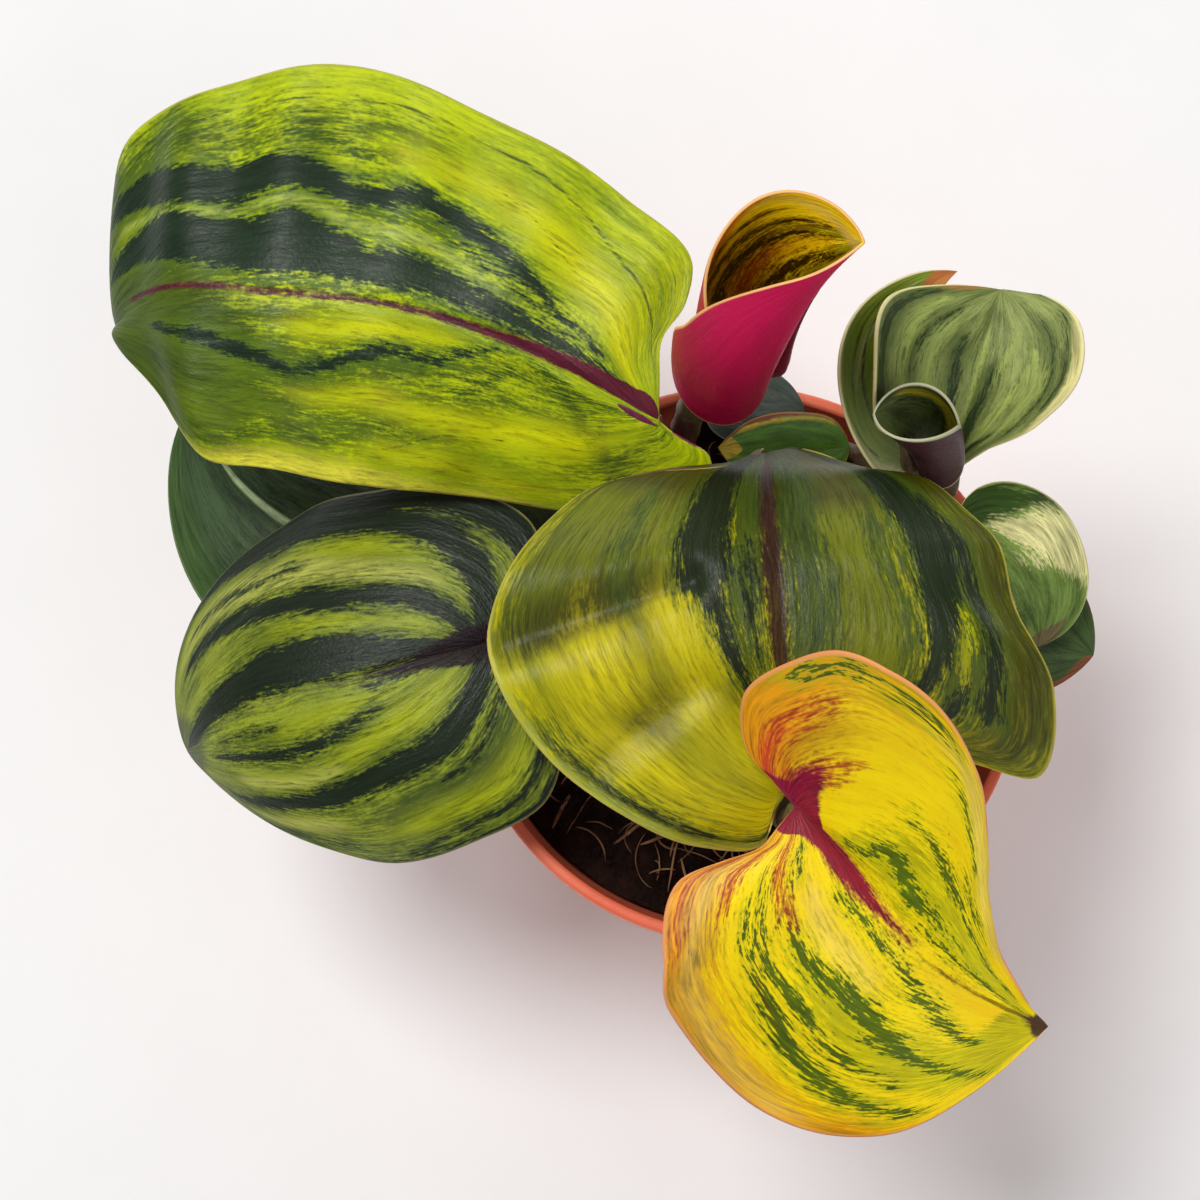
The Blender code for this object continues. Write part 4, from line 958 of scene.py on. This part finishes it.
def potProfile():
    s = potSizes
    floor, top, r, edge = s["floor"], s["height"], s["round"], s["rimRound"]
    step = top - s["rimDepth"]

    def wallAt(z):
        return s["foot"] + (s["wallTop"] - s["foot"]) * z / step

    corner = wallAt(floor) - s["wall"]
    profile = [(0, floor), (s["hub"], floor), (corner - s["corner"], floor), (corner - 0.3, floor + s["cornerRise"])]
    profile += [(wallAt(z) - s["wall"], z) for z in np.linspace(4, step, 12)]
    profile += [(s["rimInner"], top - 2.2)]
    profile += arc(s["rimInner"] + r, top - r, r, 180, 90)
    profile += arc(s["rim"] - r, top - r, r, 90, 0)
    profile += [(s["rim"] - 0.25, step + 3)]
    profile += arc(s["rim"] - 1.0, step + edge, edge, 0, -90, 4)
    profile += [(s["wallTop"] + 0.3, step - 0.1), (s["wallTop"] - 0.1, step - 0.8)]
    profile += [(wallAt(z), z) for z in np.linspace(step - 3, 4, 14)]
    profile += arc(s["foot"] - s["footRound"], s["footRound"], s["footRound"], 0, -90, 5)
    inner = s["foot"] - s["footRing"]
    return profile + [(inner + 1, 0), (inner, s["lift"]), (s["hub"], s["lift"]), (s["hub"] - 2, 0), (0, 0)]


def buildPot():
    s = potSizes
    profile = potProfile()
    mesh = bpy.data.meshes.new("pot_shell")
    mesh.from_pydata([(a * mm, 0, b * mm) for a, b in profile], [(k, k + 1) for k in range(len(profile) - 1)], [])
    piece = linked("pot_shell", mesh)
    turn = piece.modifiers.new("turn", "SCREW")
    turn.steps = turn.render_steps = s["steps"]
    turn.use_merge_vertices = True
    turn.merge_threshold = 0.05 * mm
    turn.use_normal_flip = True
    cutter = newObject("drain_cutter", [], [], [])
    shape = bmesh.new()
    for k in range(s["drains"]):
        angle = 2 * math.pi * k / s["drains"]
        radius = s["drainRadius"] * mm
        made = bmesh.ops.create_cone(shape, cap_ends=True, segments=s["drainSides"], radius1=radius,
                                     radius2=radius, depth=s["drainDepth"] * mm)
        place = Vector((math.cos(angle), math.sin(angle), 0)) * s["drainCircle"] * mm
        bmesh.ops.translate(shape, verts=made["verts"], vec=place)
    shape.to_mesh(cutter.data)
    shape.free()
    cut = piece.modifiers.new("drains", "BOOLEAN")
    cut.operation = "DIFFERENCE"
    cut.object = cutter
    graph = bpy.context.evaluated_depsgraph_get()
    made = bpy.data.meshes.new_from_object(piece.evaluated_get(graph))
    piece.modifiers.clear()
    piece.data = made
    bpy.data.objects.remove(cutter)
    made.materials.clear()
    made.materials.append(potFinish())
    made.shade_smooth()
    made.set_sharp_from_angle(angle=math.radians(s["sharp"]))
    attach(piece, "root")
    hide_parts("pot")


buildPot()
print("pot built")


# Soil: a lumpy bed with crumbs, fine roots and a few straws on it.

soilSizes = dict(top=93, radius=55.1, footRadius=41.9, foot=1.9, rings=70, steps=200, lump=0.8, clod=1.5,
                 pit=0.5, edge=6, edgeDrop=0.6, skirt=5, crumbs=900, crumbReach=53.5, fibres=420, straws=70,
                 fibreReach=50, fibreLimit=54, fibrePoints=12, seed=11)
soilLook = dict(dark=(20, 12, 9), mid=(54, 34, 24), light=(112, 82, 56), dust=(120, 96, 70),
                fibre=(168, 132, 92), fibreDark=(84, 54, 38), fibreLight=(214, 184, 138))


def soilHeight(x, y):
    # the broad form is the frame's, the clods and pits are finer
    broad = math.sin(x / 12 + 1) * math.cos(y / 12) + math.sin((x + y / 2) / 4) * math.sin((y - x / 2) / 4 + 2)
    clod = noise.fractal(Vector((x / 5, y / 5, 2.0)), 0.9, 2.1, 4) * soilSizes["clod"]
    pit = noise.noise(Vector((x / 1.6, y / 1.6, 7.0))) * soilSizes["pit"]
    return soilSizes["lump"] * broad + clod + pit


def soilFinish():
    sheet = Sheet("soil_mix", Roughness=0.95, Specular_IOR_Level=0.15)
    place = sheet.object()
    broad = sheet.grain(place, 160, 4, 0.6)
    crumb = sheet.grain(place, 900, 4, 0.7)
    dust = sheet.grain(place, 3000)
    colour = sheet.mix(paint(*soilLook["dark"]), paint(*soilLook["mid"]), (broad * 2 + crumb * 1.5 + 0.25).clamp())
    colour = sheet.mix(colour, paint(*soilLook["light"]), (crumb * 4 - 0.95).clamp() * 0.7)
    colour = sheet.mix(colour, paint(*soilLook["dust"]), (dust * 5 - 1.3).clamp() * 0.5)
    return sheet.plug(
        Base_Color=colour,
        Roughness=(0.9 + crumb * 0.2).clamp(),
        Normal=sheet.bump(broad + crumb * 0.8 + dust * 0.3, 0.0012, 0.8),
    )


def fibreFinish():
    sheet = Sheet("root_fibre", Roughness=0.75, Specular_IOR_Level=0.2)
    place = sheet.object()
    broad = sheet.grain(place, 110)
    streak = sheet.grain(place, 1500)
    colour = sheet.mix(paint(*soilLook["fibre"]), paint(*soilLook["fibreDark"]), (broad * 3.5 + 0.5).clamp())
    colour = sheet.mix(colour, paint(*soilLook["fibreLight"]), (streak * 2 + broad * 2 - 0.3).clamp())
    return sheet.plug(
        Base_Color=colour,
        Roughness=(0.75 + streak * 0.3).clamp(),
        Normal=sheet.bump(streak, 0.0002, 0.6),
    )


def buildBed(skin):
    s = soilSizes
    rings, steps = s["rings"], s["steps"]
    turns = [(math.cos(2 * math.pi * j / steps), math.sin(2 * math.pi * j / steps)) for j in range(steps)]
    points = [(0, 0, s["top"] + soilHeight(0, 0))]
    for k in range(1, rings + 1):
        reach = s["radius"] * (k / rings) ** 0.8
        edge = min(1, (s["radius"] - reach) / s["edge"])
        for a, b in turns:
            x, y = reach * a, reach * b
            points.append((x, y, s["top"] - (1 - edge) * s["edgeDrop"] + soilHeight(x, y) * edge))
    for radius, z in ((s["radius"] - 0.3, s["top"] - s["skirt"]), (s["footRadius"], s["foot"])):
        points += [(radius * a, radius * b, z) for a, b in turns]
    faces = [(0, 1 + j, 1 + (j + 1) % steps) for j in range(steps)]
    for k in range(rings + 1):
        first = 1 + k * steps
        for j in range(steps):
            a, b = first + j, first + (j + 1) % steps
            faces.append((a, a + steps, b + steps, b))
    faces.append(tuple(1 + (rings + 1) * steps + j for j in range(steps))[::-1])
    return newObject("soil_bed", points, faces, [skin])


def spot(random, reach):
    # an even draw over a round of that reach
    angle, share = random.uniform(0, 2 * math.pi), math.sqrt(random.uniform(0, 1))
    return reach * share * math.cos(angle), reach * share * math.sin(angle)


def buildCrumbs(random, skin):
    # crumbs of peat and bark lying on the bed
    s = soilSizes
    shape = bmesh.new()
    for k in range(s["crumbs"]):
        x, y = spot(random, s["crumbReach"])
        size = random.uniform(0.35, 1.3)
        made = bmesh.ops.create_icosphere(shape, subdivisions=1, radius=size * mm)
        stretch = Vector((random.uniform(0.6, 1.5), random.uniform(0.6, 1.2), random.uniform(0.4, 0.9)))
        turn = random.uniform(0, math.pi)
        a, b = math.cos(turn), math.sin(turn)
        z = s["top"] + soilHeight(x, y) + size * 0.2
        for vertex in made["verts"]:
            p = vertex.co * random.uniform(0.75, 1.2) * stretch
            vertex.co = Vector((p.x * a - p.y * b, p.x * b + p.y * a, p.z)) + Vector((x, y, z)) * mm
    mesh = bpy.data.meshes.new("soil_crumbs")
    shape.to_mesh(mesh)
    shape.free()
    mesh.materials.append(skin)
    return linked("soil_crumbs", mesh)


def buildRoots(random):
    # fine roots and a few straws, lying over the bed in loose arcs
    s = soilSizes
    count = s["fibrePoints"]
    allPoints, allFaces = [], []
    for k in range(s["fibres"] + s["straws"]):
        straw = k >= s["fibres"]
        x, y = spot(random, s["fibreReach"])
        heading = random.uniform(0, 2 * math.pi)
        bend = random.uniform(-0.02, 0.02) if straw else random.uniform(-0.22, 0.22)
        run = random.uniform(7, 20) if straw else random.uniform(4, 16)
        path = []
        rise = random.uniform(0.5, 2.2) if straw else random.uniform(0.1, 1.6)
        for j in range(count):
            heading += bend + random.normal(0, 0.05)
            x, y = x + math.cos(heading) * run / count, y + math.sin(heading) * run / count
            lift = rise * math.sin(math.pi * (j + 0.3) / count) + 0.35
            path.append((x, y, s["top"] + soilHeight(x, y) * 0.7 + lift))
        path = np.array(path)
        if np.hypot(path[:, 0], path[:, 1]).max() > s["fibreLimit"]:
            continue
        thick = random.uniform(0.28, 0.5) if straw else random.uniform(0.1, 0.26)
        radii = thick * np.interp(np.linspace(0, 1, count), [0, 0.2, 0.8, 1], [0.6, 1, 0.9, 0.35])
        tubePoints, tubeFaces = tubeMesh(path, radii, 6)
        first = len(allPoints)
        allPoints += list(tubePoints)
        allFaces += [tuple(first + i for i in face) for face in tubeFaces]
    return newObject("soil_roots", allPoints, allFaces, [fibreFinish()])


def buildSoil():
    skin = soilFinish()
    random = np.random.default_rng(soilSizes["seed"])
    piece = buildBed(skin)
    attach(piece, "root")
    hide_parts("soil")
    crumbs = buildCrumbs(random, skin)
    crumbs.parent = piece
    roots = buildRoots(random)
    roots.parent = piece


buildSoil()
print("soil built")


# Floor, lights and camera: places in metres.

stageLook = dict(
    floor=1500, pale=(0.93, 0.93, 0.93, 1), dim=(0.9, 0.9, 0.9, 1), world=0.3, aim=(0, 0, 0.12),
    lens=91.8, sensor=36, clip=0.01, camera=(-0.0298, -0.0956, 0.7472), tilt=9.6,
    lights=dict(
        key=((-0.6, 0.4, 2.0), 0.8, 26.0, (1.0, 0.99, 0.97)),
        fill=((0.9, -1.0, 1.4), 1.6, 6.0, (0.98, 0.99, 1.0)),
        back=((-0.1, 1.3, 0.7), 0.8, 5.0, (1.0, 1.0, 1.0)),
    ),
)


def buildStage():
    s = stageLook
    far = s["floor"]
    floor = newObject("floor", [(-far, -far, 0), (far, -far, 0), (far, far, 0), (-far, far, 0)], [(0, 1, 2, 3)], [])
    sheet = Sheet("floor_white", Roughness=0.9)
    speck = sheet.grain(sheet.object(), 40)
    floor.data.materials.append(sheet.plug(Base_Color=sheet.mix(s["pale"], s["dim"], (speck + 0.5).clamp())))

    world = bpy.data.worlds.new("studio")
    bpy.context.scene.world = world
    world.use_nodes = True
    sky = world.node_tree.nodes["Background"]
    sky.inputs["Color"].default_value = (1.0, 1.0, 1.0, 1)
    sky.inputs["Strength"].default_value = s["world"]
    for name, (place, size, power, colour) in s["lights"].items():
        data = bpy.data.lights.new(name, "AREA")
        data.shape = "DISK"
        data.size = size
        data.energy = power
        data.color = colour
        light = linked(name, data)
        light.location = place
        light.rotation_euler = (Vector(s["aim"]) - Vector(place)).to_track_quat("-Z", "Y").to_euler()

    data = bpy.data.cameras.new("view")
    data.lens = s["lens"]
    data.sensor_width = s["sensor"]
    data.clip_start = s["clip"]
    camera = linked("view", data)
    camera.location = s["camera"]
    camera.rotation_euler = (math.radians(s["tilt"]), 0, 0)
    bpy.context.scene.camera = camera
    bpy.context.scene.view_settings.view_transform = "Standard"


buildStage()
print("stage set")
